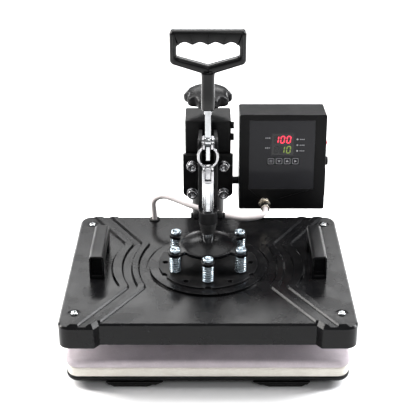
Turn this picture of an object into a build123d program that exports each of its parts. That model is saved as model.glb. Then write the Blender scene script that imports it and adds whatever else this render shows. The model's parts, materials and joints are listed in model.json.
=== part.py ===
from build123d import *

import math
import os

# Swing-away flat heat press, in millimetres, +Z up. Every piece is drawn about the ram's axis
# (x = 0, y = 0) with the floor at z = 0 and the operator on the -Y side, and moved by
# ORIGIN_SHIFT as it is written, so that the origin is the middle of the footprint on the floor.

# ---------------------------------------------------------------- driving dimensions
ORIGIN_SHIFT = -32.0

# Lower stack
PAD_HALF_X = 190.0
PAD_FRONT = -148.0
PAD_BACK = 142.0
PAD_CORNER = 18.0
SOLE_TOP = 4.5
RUNNER_TOP = 9.0
TRAY_TOP = 17.5
BACKING_TOP = 32.0
PAD_TOP = 44.0

# Base and post
SHOE_FRONT = -147.0
BASE_BACK = 225.0
RUNNER_IN = 72.0
RUNNER_OUT = 130.0
BEAM_FRONT = 155.0
BEAM_TOP = 40.0
BEAM_WALL = 4.0
POST_Y = 187.5
POST_R = 25.0
POST_STEM_R = 18.0
POST_BORE_R = 12.0
POST_SHOULDER = 136.0
POST_END = 231.9
FLANGE_R = 36.0
FLANGE_TOP = 48.0

# Bush, head and pressure screw
RUNNING_GAP = 0.05
BUSH_R = 22.0
BUSH_TOP = 236.0
HEAD_HALF_X = 34.5
HEAD_FRONT = 160.0
HEAD_BACK = 215.0
HEAD_BOTTOM = 140.0
HEAD_TOP = 260.0
HEAD_BORE_TOP = 240.0
SCREW_R = 6.0
KNOB_R = 36.5
KNOB_BOTTOM = 281.0
KNOB_TOP = 304.0
PLATE_HALF_X = 37.8
PLATE_FRONT = 152.0
PLATE_BOTTOM = 138.0
PLATE_TOP = 208.0

# Arm and ram
CHEEK_IN = 8.5
CHEEK_OUT = 13.5
ARM_BOTTOM = 184.0
LUG_BOTTOM = 168.0
GUIDE_R = 12.75
GUIDE_BOTTOM = 174.0
GUIDE_TOP = 192.0
BOOT_BOTTOM = 158.0
CLAMP_Y = 18.0
CLAMP_Z = 175.0
RAM_R = 8.0
RAM_TOP = 237.0
FORK_TOP = 254.0
FORK_HALF = 7.9
FORK_SLOT = 4.3
CLEVIS_Z = 247.5
CLEVIS_R = 3.0

# Toggle: the handle turns about PIVOT, and carries the link's pin, CRANK away from it at 45 degrees
LINK_SWAY = 2.25
LINK_PIN_Z = 296.0
CRANK_OFFSET = 10.8
PIVOT_Y = LINK_SWAY + CRANK_OFFSET
PIVOT_Z = LINK_PIN_Z - CRANK_OFFSET
PIVOT_R = 4.0
LINK_PIN_R = 3.5
LEVER_HALF = 3.75
LEVER_GAP = 4.1
TAIL_HALF = 2.6
TAIL_BOTTOM = 267.0
RING_HALF_X = 14.75
RING_HALF_Z = 17.0
RING_BAR = 3.5
RING_Z = 272.2

# Handle
STEM_BOTTOM = 340.0
STEM_TOP = 392.0
STEM_HALF_X = 9.0
HANDLE_HALF_Y = 7.0
GRIP_HALF_X = 49.5
GRIP_TOP = 450.0
GRIP_UNDER = 430.0
SIDE_BAR = 8.5
GROOVE_R = 8.5

# Upper platen
COVER_HALF_X = 195.0
COVER_FRONT = -161.0
COVER_FRONT_MID = -152.0
COVER_BACK = 151.0
COVER_RIM = 72.5
COVER_ROOF = 101.0
COVER_TOP = 104.0
COVER_WALL = 4.0
COVER_EDGE = 2.5
STEP_X = 148.0
BOSS_R = 83.0
BOSS_TOP = 107.0
MOAT_R = 87.0
MOAT_FLOOR = 102.6
BAND_RISE = 3.0
BAND_FLANK = 2.2
BAND_BEND_Y = 60.0
BAND_SLOPE = 0.62
# Each band's inner and outer edge: x where it bends, and x abreast of the ram
BANDS = (((84.0, 97.0), (97.0, 109.0)), ((107.0, 120.0), (122.0, 137.0)))
CENTRE_PLATE_R = 70.0
CENTRE_PLATE_TOP = 109.5
PLATE_Z = (70.0, 82.0)
HEATER_PLATE_HALF_X = 188.0
HEATER_PLATE_Y = (-147.0, 141.0)
ELEMENT_R = 4.0
INSULATION_Z = (90.0, 97.0)
CORNER_SCREW_X = 176.0
CORNER_SCREW_Y = 125.0
CORNER_SEAT_R = 8.5
CORNER_SEAT = 102.8
HANDLE_X = (143.5, 164.5)
HANDLE_Y = (-37.0, 57.0)
HANDLE_TOP = 139.0
HANDLE_UNDER = 124.0
HANDLE_LEG = 18.0

# Spider, spring bolts and springs
BOLT_CIRCLE_R = 52.5
BOLT_COUNT = 6
BOLT_R = 3.0
BOLT_HEAD_R = 7.5
LOBE_Z = (136.0, 141.0)
LOBE_R = 9.5
ARM_HALF = 8.0
SPIDER_R = 41.0
DOME_R = 38.0
DOME_TOP = 150.0
SPRING_R = 8.0
SPRING_WIRE = 1.8

# Control box: its own frame has x as the press's, v back from the front face, w up the face
BOX_X = (47.0, 177.0)
BOX_FACE_Y = 140.0
BOX_BOTTOM_Z = 123.0
BOX_TILT = 5.0
BOX_HEIGHT = 150.0
BOX_DEPTH = 58.0
BOX_WALL = 2.5
FILM_X = (62.0, 160.0)
FILM_W = (33.0, 141.0)
FILM_V = (0.4, 1.0)
WINDOW_X = (95.0, 128.0)
WINDOW_W = (87.0, 121.0)
KEY_NAMES = ("menu_key", "down_key", "up_key", "start_key")
KEY_SIZE = 10.4
KEY_GAP = 0.4
KEY_PITCH = 12.2
KEY_ROW_X = 113.0
KEY_ROW_W = 77.5
ROCKER_V = 25.0
ROCKER_W = 93.0
ROCKER_X = 172.0
ROCKER_THROW = 10.0
GLAND_X = 86.0
GLAND_W = 11.5
GLAND_LENGTH = 28.0
SPACER_Y = 178.0
SPACER_Z = 154.0

# Heater cable: its straight start out of the gland, then points to the hole in the cover
CABLE_R = 4.0
CABLE_START = 15.0
CABLE_HOLE = (-82.0, 141.0)
CABLE_ROUTE = [
    (76.0, 88.0, 136.0),
    (52.0, 86.0, 134.0),
    (28.0, 91.0, 136.5),
    (2.0, 99.0, 141.0),
    (-24.0, 109.0, 143.0),
    (-50.0, 126.0, 146.5),
    (-70.0, 137.0, 148.0),
    (-84.5, 141.0, 137.0),
    (-82.0, 141.0, 119.0),
    (-82.0, 141.0, 102.0),
]


# ---------------------------------------------------------------- plain shapes
def block(x, y, z):
    """A box between low and high values along each axis."""
    size = [high - low for low, high in (x, y, z)]
    middle = [(high + low) / 2 for low, high in (x, y, z)]
    return Pos(*middle) * Box(*size)


def post(radius, z, at=(0.0, 0.0)):
    """An upright cylinder between two heights."""
    return Pos(at[0], at[1], (z[0] + z[1]) / 2) * Cylinder(radius, z[1] - z[0])


def rod_x(radius, x, at):
    """A cylinder along X between two values, at (y, z)."""
    return Pos((x[0] + x[1]) / 2, *at) * Rot(0, 90, 0) * Cylinder(radius, x[1] - x[0])


def rod_y(radius, y, at):
    """A cylinder along Y between two values, at (x, z)."""
    return Pos(at[0], (y[0] + y[1]) / 2, at[1]) * Rot(90, 0, 0) * Cylinder(radius, y[1] - y[0])


def both_sides(piece):
    """A piece and its mirror image across the middle plane."""
    return piece + mirror(piece, Plane.YZ)


def slab(outline, z):
    """A closed outline in plan, extruded between two heights."""
    return Pos(0, 0, z[0]) * extrude(make_face(outline), z[1] - z[0])


def rounded_slab(x, y, z, radius):
    """A box whose upright edges are rounded."""
    plan = Pos((x[0] + x[1]) / 2, (y[0] + y[1]) / 2) * RectangleRounded(x[1] - x[0], y[1] - y[0], radius)
    return Pos(0, 0, z[0]) * extrude(plan, z[1] - z[0])


def cheek_profile(points, x):
    """A side profile of (y, z) points, extruded along X between two values."""
    face = make_face(Polyline(*[(x[0], y, z) for y, z in points], close=True))
    return extrude(face, x[1] - x[0], dir=(1, 0, 0))


def front_profile(points, y):
    """A front profile of (x, z) points, extruded along Y between two values."""
    face = make_face(Polyline(*[(px, y[0], pz) for px, pz in points], close=True))
    return extrude(face, y[1] - y[0], dir=(0, 1, 0))


def bolt_places():
    """Centres of the spring bolts, the first one straight in front of the ram."""
    for i in range(BOLT_COUNT):
        angle = math.radians(-90 + i * 360 / BOLT_COUNT)
        yield BOLT_CIRCLE_R * math.cos(angle), BOLT_CIRCLE_R * math.sin(angle)


def in_box_frame(piece):
    """Puts a piece drawn in the control box's own frame where the box hangs."""
    return Location((0, BOX_FACE_Y, BOX_BOTTOM_Z), (-BOX_TILT, 0, 0)) * piece


# ---------------------------------------------------------------- base
def base_frame():
    """Two flat runners with sloped shoes, and a rear channel that carries the post."""
    shoe = [(60, RUNNER_TOP), (137, RUNNER_TOP), (133, SOLE_TOP), (70, SOLE_TOP)]
    runner = block((RUNNER_IN, RUNNER_OUT), (SHOE_FRONT, BASE_BACK), (SOLE_TOP, RUNNER_TOP))
    runner += front_profile(shoe, (SHOE_FRONT, SHOE_FRONT + 70))
    runner += front_profile(shoe, (BEAM_FRONT, BASE_BACK))
    beam = block((-RUNNER_OUT, RUNNER_OUT), (BEAM_FRONT, BASE_BACK), (RUNNER_TOP, BEAM_TOP))
    inside = block(
        (-RUNNER_OUT + BEAM_WALL, RUNNER_OUT - BEAM_WALL),
        (BEAM_FRONT + BEAM_WALL, BASE_BACK - BEAM_WALL),
        (RUNNER_TOP, BEAM_TOP - BEAM_WALL),
    )
    return both_sides(runner) + (beam - inside)


def rubber_feet():
    """Four soles under the shoes."""
    sole = [(70, SOLE_TOP), (133, SOLE_TOP), (126, 0), (82, 0)]
    front = front_profile(sole, (SHOE_FRONT + 2, SHOE_FRONT + 68))
    back = front_profile(sole, (BEAM_FRONT + 2, BASE_BACK - 2))
    return both_sides(front) + both_sides(back)


def post_column():
    """Flanged post with a shoulder, and the thinner stem that the head turns on."""
    column = post(FLANGE_R, (BEAM_TOP, FLANGE_TOP), (0, POST_Y))
    column += post(POST_R, (FLANGE_TOP, POST_SHOULDER), (0, POST_Y))
    column += post(POST_STEM_R, (POST_SHOULDER, POST_END), (0, POST_Y))
    return column - post(POST_BORE_R, (BEAM_TOP, POST_END), (0, POST_Y))


def column_bolts():
    """Four hexagon-headed bolts on the post's flange."""
    bolts = Part()
    for i in range(4):
        angle = math.radians(45 + 90 * i)
        at = (30.5 * math.cos(angle), POST_Y + 30.5 * math.sin(angle))
        head = Pos(at[0], at[1], FLANGE_TOP) * extrude(RegularPolygon(4.5, 6), 5)
        bolts += head
    return bolts


def lower_tray():
    """Black pressed tray with a softened lower edge."""
    tray = rounded_slab(
        (-PAD_HALF_X, PAD_HALF_X), (PAD_FRONT, PAD_BACK), (RUNNER_TOP, TRAY_TOP), PAD_CORNER
    )
    return chamfer(tray.faces().sort_by(Axis.Z)[0].edges(), 3)


def pad_backing():
    return rounded_slab(
        (-PAD_HALF_X + 1, PAD_HALF_X - 1), (PAD_FRONT + 1, PAD_BACK - 1), (TRAY_TOP, BACKING_TOP), 17
    )


def silicone_pad():
    return rounded_slab(
        (-PAD_HALF_X, PAD_HALF_X), (PAD_FRONT, PAD_BACK), (BACKING_TOP, PAD_TOP), PAD_CORNER
    )


# ---------------------------------------------------------------- bush, screw and knob
def post_bush():
    """Capped liner that turns on the post's stem and guides the head up and down."""
    bush = post(BUSH_R, (POST_SHOULDER + RUNNING_GAP, BUSH_TOP), (0, POST_Y))
    return bush - post(POST_STEM_R + RUNNING_GAP, (POST_SHOULDER, POST_END + RUNNING_GAP), (0, POST_Y))


def knob_screw():
    return post(SCREW_R, (BUSH_TOP + RUNNING_GAP, KNOB_BOTTOM + 8), (0, POST_Y))


def pressure_knob():
    """Round hand knob with eight finger scallops, a softened top and a short hub."""
    knob = post(KNOB_R, (KNOB_BOTTOM, KNOB_TOP), (0, POST_Y))
    knob = chamfer(knob.faces().sort_by(Axis.Z)[-1].edges(), 9, 16)
    for i in range(8):
        angle = math.radians(22.5 + 45 * i)
        at = (43 * math.cos(angle), POST_Y + 43 * math.sin(angle))
        knob -= post(10, (KNOB_BOTTOM, KNOB_TOP), at)
    knob += post(14, (KNOB_BOTTOM - 5, KNOB_BOTTOM), (0, POST_Y))
    return knob - post(SCREW_R, (KNOB_BOTTOM - 5, KNOB_BOTTOM + 8), (0, POST_Y))


# ---------------------------------------------------------------- head and arm
def front_plate_places():
    """(x, z) of the four screws in the front plate."""
    return [(x, z) for x in (-24, 24) for z in (144.5, 190)]


def head_block():
    """Square housing bored for the bush, with the pressure screw's thread in its top."""
    head = rounded_slab((-HEAD_HALF_X, HEAD_HALF_X), (HEAD_FRONT, HEAD_BACK), (HEAD_BOTTOM, HEAD_TOP), 3)
    head = chamfer(head.faces().sort_by(Axis.Z)[-1].edges(), 1.5)
    head -= post(BUSH_R + RUNNING_GAP, (HEAD_BOTTOM, HEAD_BORE_TOP), (0, POST_Y))
    head -= post(SCREW_R + RUNNING_GAP, (HEAD_BORE_TOP, HEAD_TOP), (0, POST_Y))
    for x, z in front_plate_places():
        head -= rod_y(5, (HEAD_FRONT, HEAD_FRONT + 12), (x, z))
    for z in (226, 245):
        head -= rod_x(3, (HEAD_HALF_X - 6, HEAD_HALF_X), (180, z))
    return head


def head_side_bolts():
    """Two clamping bolts in the head's right side."""
    bolts = Part()
    for z in (226, 245):
        bolts += rod_x(3, (HEAD_HALF_X - 6, HEAD_HALF_X), (180, z))
        bolts += rod_x(5.5, (HEAD_HALF_X, HEAD_HALF_X + 5), (180, z))
    return bolts


def front_plate():
    """Bolted plate that the arm is welded to, rounded at its lower corners."""
    w = PLATE_HALF_X
    plate = block((-w, w), (PLATE_FRONT, HEAD_FRONT), (PLATE_BOTTOM, PLATE_TOP))
    lower = plate.edges().filter_by(Axis.Y).sort_by(Axis.Z)[:2]
    plate = fillet(lower, 8)
    for x, z in front_plate_places():
        plate -= rod_y(5, (PLATE_FRONT, HEAD_FRONT), (x, z))
    return plate


def front_plate_screws():
    """Four socket-head screws."""
    screws = Part()
    for x, z in front_plate_places():
        head = rod_y(8.8, (PLATE_FRONT - 8, PLATE_FRONT), (x, z))
        socket = Pos(x, PLATE_FRONT - 8, z) * Rot(-90, 0, 0) * extrude(RegularPolygon(4.6, 6), 5)
        screws += head - socket
        screws += rod_y(5, (PLATE_FRONT, HEAD_FRONT + 12), (x, z))
    return screws


def arm_cheek(x):
    """Side plate of the arm: lug round the guide in front, pivot eye above, plate end behind."""
    outline = [
        (0, LUG_BOTTOM),
        (28, LUG_BOTTOM),
        (44, ARM_BOTTOM),
        (PLATE_FRONT, ARM_BOTTOM),
        (PLATE_FRONT, PLATE_TOP),
        (HEAD_FRONT, PLATE_TOP),
        (HEAD_FRONT, 246),
        (PIVOT_Y + 5, PIVOT_Z + 7.2),
        (PIVOT_Y - 3, PIVOT_Z),
        (9.5, PIVOT_Z - 8),
        (9.5, GUIDE_TOP),
        (0, GUIDE_TOP),
    ]
    cheek = cheek_profile(outline, x) + rod_x(8, x, (PIVOT_Y, PIVOT_Z))
    cheek -= post(GUIDE_R, (LUG_BOTTOM, GUIDE_TOP))
    cheek -= rod_x(PIVOT_R, x, (PIVOT_Y, PIVOT_Z))
    return cheek - rod_x(4, x, (CLAMP_Y, CLAMP_Z))


def arm_web():
    """Bottom web between the cheeks, from behind the guide to the front plate."""
    return block((-CHEEK_IN, CHEEK_IN), (44, PLATE_FRONT), (ARM_BOTTOM, ARM_BOTTOM + 6))


def lever_pivot_pin():
    return rod_x(PIVOT_R, (-CHEEK_OUT, CHEEK_OUT), (PIVOT_Y, PIVOT_Z))


def ram_guide():
    """Round guide that the ram slides in."""
    return post(GUIDE_R, (GUIDE_BOTTOM, GUIDE_TOP)) - post(RAM_R + RUNNING_GAP, (GUIDE_BOTTOM, GUIDE_TOP))


def guide_boot():
    """Tapered rubber wiper under the guide."""
    height = GUIDE_BOTTOM - BOOT_BOTTOM
    boot = Pos(0, 0, BOOT_BOTTOM + height / 2) * Cone(9.2, GUIDE_R, height)
    return boot - post(RAM_R + RUNNING_GAP, (BOOT_BOTTOM, GUIDE_BOTTOM))


def guide_clamp_bolt():
    """Cross bolt through the lugs behind the guide, with a head and a nut."""
    bolt = rod_x(4, (-24, 24), (CLAMP_Y, CLAMP_Z))
    for side in (-1, 1):
        ends = sorted((side * CHEEK_OUT, side * (CHEEK_OUT + 6.5)))
        bolt += rod_x(6.5, ends, (CLAMP_Y, CLAMP_Z))
    return bolt


# ---------------------------------------------------------------- toggle and handle
def lever_bar():
    """Flat bar with a tail in the ring, the pivot eye, the link eye and the tang of the handle."""
    half = (-LEVER_HALF, LEVER_HALF)
    pin = (LINK_SWAY, LINK_PIN_Z)
    pivot = (PIVOT_Y, PIVOT_Z)
    eyes = [
        (pin[0] - 5.5, pin[1] - 5.5),
        (pin[0] + 5.5, pin[1] + 5.5),
        (pivot[0] + 5, pivot[1] + 5),
        (pivot[0] - 5, pivot[1] - 5),
    ]
    bar = cheek_profile(eyes, half)
    bar += rod_x(7.8, half, pin) + rod_x(7.2, half, pivot)
    bar += block(half, (pin[0] - 5, pin[0] + 5), (LINK_PIN_Z, STEM_BOTTOM + 35))
    bar += rod_x(5, (-CHEEK_IN + 0.4, CHEEK_IN - 0.4), pivot)
    bar += block((-TAIL_HALF, TAIL_HALF), (pin[0] - 2.5, pin[0] + 2.5), (TAIL_BOTTOM, LINK_PIN_Z))
    bar -= rod_x(LINK_PIN_R + RUNNING_GAP, half, pin)
    return bar - rod_x(PIVOT_R + RUNNING_GAP, (-CHEEK_IN, CHEEK_IN), pivot)


def lever_handle():
    """Cast D-handle: stem, V-shaped lower bars, straight sides and a grip with finger grooves."""
    depth = (LINK_SWAY - HANDLE_HALF_Y, LINK_SWAY + HANDLE_HALF_Y)
    g = GRIP_HALF_X
    inner = g - SIDE_BAR
    outer = front_profile([(0, 389), (g, 405), (g, GRIP_TOP), (-g, GRIP_TOP), (-g, 405)], depth)
    outer = fillet(outer.edges().filter_by(Axis.Y).sort_by(Axis.Z)[1:], 6)
    opening = front_profile(
        [(0, 403), (inner, 414.5), (inner, GRIP_UNDER), (-inner, GRIP_UNDER), (-inner, 414.5)], depth
    )
    opening = fillet(opening.edges().filter_by(Axis.Y).sort_by(Axis.Z)[1:], 3)
    for x in (-30, -10, 10, 30):
        opening += rod_y(GROOVE_R, depth, (x, GRIP_UNDER - 5.5))
    handle = outer - opening
    handle += block((-STEM_HALF_X, STEM_HALF_X), depth, (STEM_BOTTOM, STEM_TOP + 5))
    tang = block(
        (-LEVER_HALF, LEVER_HALF), (LINK_SWAY - 5, LINK_SWAY + 5), (STEM_BOTTOM, STEM_BOTTOM + 35)
    )
    return handle - tang


def yoke_ring():
    """Ring link: two ears at the top for its pin, and a tongue with a slotted hole below."""
    flat = (LINK_SWAY - 2, LINK_SWAY + 2)
    turned = Rot(90, 0, 0)
    hoop = Ellipse(RING_HALF_X, RING_HALF_Z) - Ellipse(RING_HALF_X - RING_BAR, RING_HALF_Z - RING_BAR)
    ring = Pos(0, flat[1], RING_Z) * turned * extrude(hoop, flat[1] - flat[0])
    ears = block((-7, 7), (LINK_SWAY - 5, LINK_SWAY + 5), (RING_Z + 12, LINK_PIN_Z))
    ears += rod_x(6.5, (-7, 7), (LINK_SWAY, LINK_PIN_Z))
    ring += ears
    ring -= block((-LEVER_GAP, LEVER_GAP), (-20, 20), (RING_Z, LINK_PIN_Z + 20))
    tongue = block(
        (-FORK_SLOT + 0.4, FORK_SLOT - 0.4),
        (LINK_SWAY - 8.5, LINK_SWAY + 8.5),
        (CLEVIS_Z - 6, RING_Z - RING_HALF_Z + RING_BAR / 2),
    )
    ring += tongue
    slot_r = CLEVIS_R + 0.8
    slot = block((-6, 6), (0, 2 * LINK_SWAY), (CLEVIS_Z - slot_r, CLEVIS_Z + slot_r))
    slot += rod_x(slot_r, (-6, 6), (0, CLEVIS_Z)) + rod_x(slot_r, (-6, 6), (2 * LINK_SWAY, CLEVIS_Z))
    return ring - slot - rod_x(LINK_PIN_R, (-8, 8), (LINK_SWAY, LINK_PIN_Z))


def yoke_pin():
    """Pin of the link, with a round nut on each end."""
    at = (LINK_SWAY, LINK_PIN_Z)
    pin = rod_x(LINK_PIN_R, (-8.1, 8.1), at)
    return pin + rod_x(5.5, (-8.1, -7), at) + rod_x(5.5, (7, 8.1), at)


# ---------------------------------------------------------------- ram and spider
def ram_shaft():
    return post(RAM_R, (LOBE_Z[0], RAM_TOP))


def ram_clevis():
    """Fork on top of the ram."""
    h = FORK_HALF
    fork = rounded_slab((-h, h), (-h, h), (RAM_TOP, FORK_TOP), 3)
    fork -= block((-FORK_SLOT, FORK_SLOT), (-h, h), (RAM_TOP + 3.5, FORK_TOP))
    return fork - rod_x(CLEVIS_R, (-h, h), (0, CLEVIS_Z))


def clevis_pin():
    return rod_x(CLEVIS_R, (-FORK_HALF, FORK_HALF), (0, CLEVIS_Z))


def spider():
    """Domed disc with a lobe round each spring bolt."""
    star = post(SPIDER_R, LOBE_Z)
    for i, (x, y) in enumerate(bolt_places()):
        arm = block((0, BOLT_CIRCLE_R), (-ARM_HALF, ARM_HALF), LOBE_Z)
        star += Rot(0, 0, -90 + 360 / BOLT_COUNT * i) * arm + post(LOBE_R, LOBE_Z, (x, y))
    rise = DOME_TOP - LOBE_Z[1]
    ball_r = (DOME_R**2 + rise**2) / (2 * rise)
    dome = Pos(0, 0, DOME_TOP - ball_r) * Sphere(ball_r)
    star += dome & post(DOME_R + 1, (LOBE_Z[1], DOME_TOP))
    for x, y in bolt_places():
        star -= post(BOLT_R + RUNNING_GAP, LOBE_Z, (x, y))
    return star - post(RAM_R, (LOBE_Z[0], DOME_TOP))


# ---------------------------------------------------------------- upper platen
def band_edge(bend_x, abreast_x):
    """One long edge of a band: in to a bend, round the ram to the other bend, and out again."""
    far = 170.0
    far_x = bend_x + BAND_SLOPE * (far - BAND_BEND_Y)
    back, front = (bend_x, BAND_BEND_Y), (bend_x, -BAND_BEND_Y)
    return [
        Line((far_x, far), back),
        ThreePointArc(back, (abreast_x, 0), front),
        Line(front, (far_x, -far)),
    ]


def cover_band(inner, outer):
    """A raised band across the cover, drawn past its back and front edges."""
    near, away = band_edge(*inner), band_edge(*outer)
    ends = [Line(near[0] @ 0, away[0] @ 0), Line(near[2] @ 1, away[2] @ 1)]
    plan = make_face(near + away + ends)
    plan = fillet([v for v in plan.vertices() if abs(v.Y) < BAND_BEND_Y + 1], 10)
    band = Pos(0, 0, COVER_TOP - 1) * extrude(plan, BAND_RISE + 1)
    return chamfer(band.faces().sort_by(Axis.Z)[-1].edges(), BAND_FLANK)


def cover_outside(top, edge):
    """The cover's outline with its stepped front corners, up to a height, with a chamfered edge."""
    x, step = COVER_HALF_X, STEP_X
    corners = [(-x, COVER_BACK), (-x, COVER_FRONT), (-step, COVER_FRONT), (7 - step, COVER_FRONT_MID)]
    corners += [(-px, py) for px, py in reversed(corners)]
    plan = make_face(Polyline(*corners, close=True))
    plan = fillet([v for v in plan.vertices() if abs(v.X) > step + 1], 16)
    body = Pos(0, 0, COVER_RIM) * extrude(plan, top - COVER_RIM)
    return chamfer(body.faces().sort_by(Axis.Z)[-1].edges(), edge)


def platen_cover():
    """Pressed cover: deep rim, raised bands, round boss in a moat, holes for what passes through."""
    cover = cover_outside(COVER_TOP, COVER_EDGE)
    cover -= post(MOAT_R, (MOAT_FLOOR, COVER_TOP)) - post(BOSS_R, (MOAT_FLOOR, COVER_TOP))
    cover += post(BOSS_R, (COVER_TOP, BOSS_TOP))
    taller = cover_outside(COVER_TOP + BAND_RISE, COVER_EDGE + BAND_RISE)
    for inner, outer in BANDS:
        cover += both_sides(cover_band(inner, outer) & taller)
    w = COVER_WALL
    x = COVER_HALF_X - w
    cover -= rounded_slab((-x, x), (COVER_FRONT_MID + w, COVER_BACK - w), (COVER_RIM, COVER_ROOF), 12)
    for px, py in bolt_places():
        cover -= post(BOLT_R, (COVER_ROOF, BOSS_TOP), (px, py))
    for at in corner_screw_places():
        cover -= post(CORNER_SEAT_R, (CORNER_SEAT, COVER_TOP), at)
    for at in corner_screw_places() + handle_screw_places():
        cover -= post(2.5, (COVER_ROOF, COVER_TOP), at)
    return cover - post(CABLE_R + 2.5, (COVER_ROOF, COVER_TOP), CABLE_HOLE)


def corner_screw_places():
    return [(x, y) for x in (-CORNER_SCREW_X, CORNER_SCREW_X) for y in (-CORNER_SCREW_Y, CORNER_SCREW_Y)]


def handle_screw_places():
    middle = (HANDLE_X[0] + HANDLE_X[1]) / 2
    ends = (HANDLE_Y[0] + HANDLE_LEG - 4, HANDLE_Y[1] - HANDLE_LEG + 4)
    return [(side * middle, y) for side in (-1, 1) for y in ends]


def cover_grommet():
    """Rubber ring in the cable's hole, loose enough for the platen to float on the cable."""
    ring = post(CABLE_R + 2.5, (COVER_ROOF, COVER_TOP), CABLE_HOLE)
    ring += post(CABLE_R + 4, (COVER_TOP, COVER_TOP + 2.5), CABLE_HOLE)
    return ring - post(CABLE_R + 0.4, (COVER_ROOF, COVER_TOP + 2.5), CABLE_HOLE)


def centre_plate():
    """Scalloped steel plate on the cover's boss, notched at each bolt and pierced between them."""
    plate = post(CENTRE_PLATE_R, (BOSS_TOP, CENTRE_PLATE_TOP))
    height = (BOSS_TOP, CENTRE_PLATE_TOP)
    for i, (x, y) in enumerate(bolt_places()):
        plate -= post(BOLT_R, height, (x, y))
        out = (CENTRE_PLATE_R + 2) / BOLT_CIRCLE_R
        plate -= post(6, height, (x * out, y * out))
        between = math.radians(-60 + i * 60)
        plate -= post(4, height, (60 * math.cos(between), 60 * math.sin(between)))
    return plate


def spring_bolts():
    """Six shouldered bolts that hang the platen from the spider."""
    bolts = Part()
    for x, y in bolt_places():
        bolts += post(BOLT_R, (INSULATION_Z[1] + 1, LOBE_Z[1] + RUNNING_GAP), (x, y))
        head = post(BOLT_HEAD_R, (LOBE_Z[1] + RUNNING_GAP, LOBE_Z[1] + 5), (x, y))
        bolts += chamfer(head.faces().sort_by(Axis.Z)[-1].edges(), 1)
    return bolts


def platen_springs():
    """The space of the six compression springs, as plain sleeves."""
    springs = Part()
    height = (CENTRE_PLATE_TOP, LOBE_Z[0])
    for x, y in bolt_places():
        springs += post(SPRING_R, height, (x, y)) - post(SPRING_R - SPRING_WIRE, height, (x, y))
    return springs


def insulation():
    return rounded_slab((-168, 168), (-125, 119), INSULATION_Z, 8)


def heater_element():
    """Bent tubular heater lying on the heating plate."""
    z = PLATE_Z[1] + ELEMENT_R
    bends = [
        (-60, 95),
        (-150, 95),
        (-150, -105),
        (-50, -105),
        (-50, 60),
        (50, 60),
        (50, -105),
        (150, -105),
        (150, 95),
        (60, 95),
    ]
    path = FilletPolyline(*[(x, y, z) for x, y in bends], radius=16)
    section = Plane(origin=path @ 0, z_dir=path % 0) * Circle(ELEMENT_R)
    return sweep(section, path)


def thermocouple():
    """Sensor clamped to the middle of the heating plate."""
    return block((-14, 14), (-40, -32), (PLATE_Z[1], PLATE_Z[1] + 5))


def heating_plate():
    """Flat aluminium plate with softened lower edges."""
    plate = rounded_slab((-HEATER_PLATE_HALF_X, HEATER_PLATE_HALF_X), HEATER_PLATE_Y, PLATE_Z, 12)
    return chamfer(plate.faces().sort_by(Axis.Z)[0].edges(), 1)


def corner_screws():
    """Four domed screws in the seats of the cover's corners."""
    screws = Part()
    for at in corner_screw_places():
        screws += post(2.5, (PLATE_Z[1], CORNER_SEAT), at)
        head = post(5.5, (CORNER_SEAT, CORNER_SEAT + 3.4), at)
        screws += chamfer(head.faces().sort_by(Axis.Z)[-1].edges(), 1.5)
    return screws


def side_handle(side):
    """Bridge handle: channel bar on two legs, its front leg open towards the operator."""
    x = HANDLE_X
    bar = block(x, HANDLE_Y, (COVER_TOP, HANDLE_TOP))
    bar = fillet(bar.faces().sort_by(Axis.Z)[-1].edges().filter_by(Axis.Y), 5)
    bar -= block(x, (HANDLE_Y[0] + HANDLE_LEG, HANDLE_Y[1] - HANDLE_LEG), (COVER_TOP, HANDLE_UNDER))
    bar -= block((x[0] + 3, x[1] - 3), (HANDLE_Y[0], HANDLE_Y[0] + 10), (COVER_TOP + 5, HANDLE_TOP - 4))
    middle = (x[0] + x[1]) / 2
    for px, py in handle_screw_places():
        if px > 0:
            bar -= post(2.5, (COVER_TOP, COVER_TOP + 12), (middle, py))
    return bar if side > 0 else mirror(bar, Plane.YZ)


def side_handle_screws():
    """Screws that hold the side handles from under the cover."""
    screws = Part()
    for at in handle_screw_places():
        screws += post(2.5, (COVER_ROOF, COVER_TOP + 12), at)
        screws += post(5, (COVER_ROOF - 3, COVER_ROOF), at)
    return screws


# ---------------------------------------------------------------- control box
def key_places():
    for i, name in enumerate(KEY_NAMES):
        yield name, KEY_ROW_X + KEY_PITCH * (i - (len(KEY_NAMES) - 1) / 2)


def key_hole(x, v):
    """Room round one key, through the film and the shell's face."""
    half = KEY_SIZE / 2 + KEY_GAP
    return block((x - half, x + half), v, (KEY_ROW_W - half, KEY_ROW_W + half))


def control_box_shell():
    """Folded box, open behind, with a sunk panel, a display opening and cut-outs in its side."""
    back = BOX_DEPTH - BOX_WALL
    t = BOX_WALL
    shell = block(BOX_X, (0, back), (0, BOX_HEIGHT))
    shell = fillet(shell.edges().filter_by(Axis.Y), 3)
    shell -= block((BOX_X[0] + t, BOX_X[1] - t), (t, back), (t, BOX_HEIGHT - t))
    shell -= block(FILM_X, (0, FILM_V[1]), FILM_W)
    shell -= block((WINDOW_X[0] + 2, WINDOW_X[1] - 2), (0, t), (WINDOW_W[0] + 2, WINDOW_W[1] - 2))
    for _, x in key_places():
        shell -= key_hole(x, (0, t))
    wall = (BOX_X[1] - t, BOX_X[1])
    shell -= block(wall, (ROCKER_V - 9, ROCKER_V + 9), (ROCKER_W - 13, ROCKER_W + 13))
    shell -= block(wall, (15, 39), (26, 54))
    shell -= rod_x(6, wall, (27, 69))
    return in_box_frame(shell - rod_y(6, (0, t), (GLAND_X, GLAND_W)))


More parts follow.
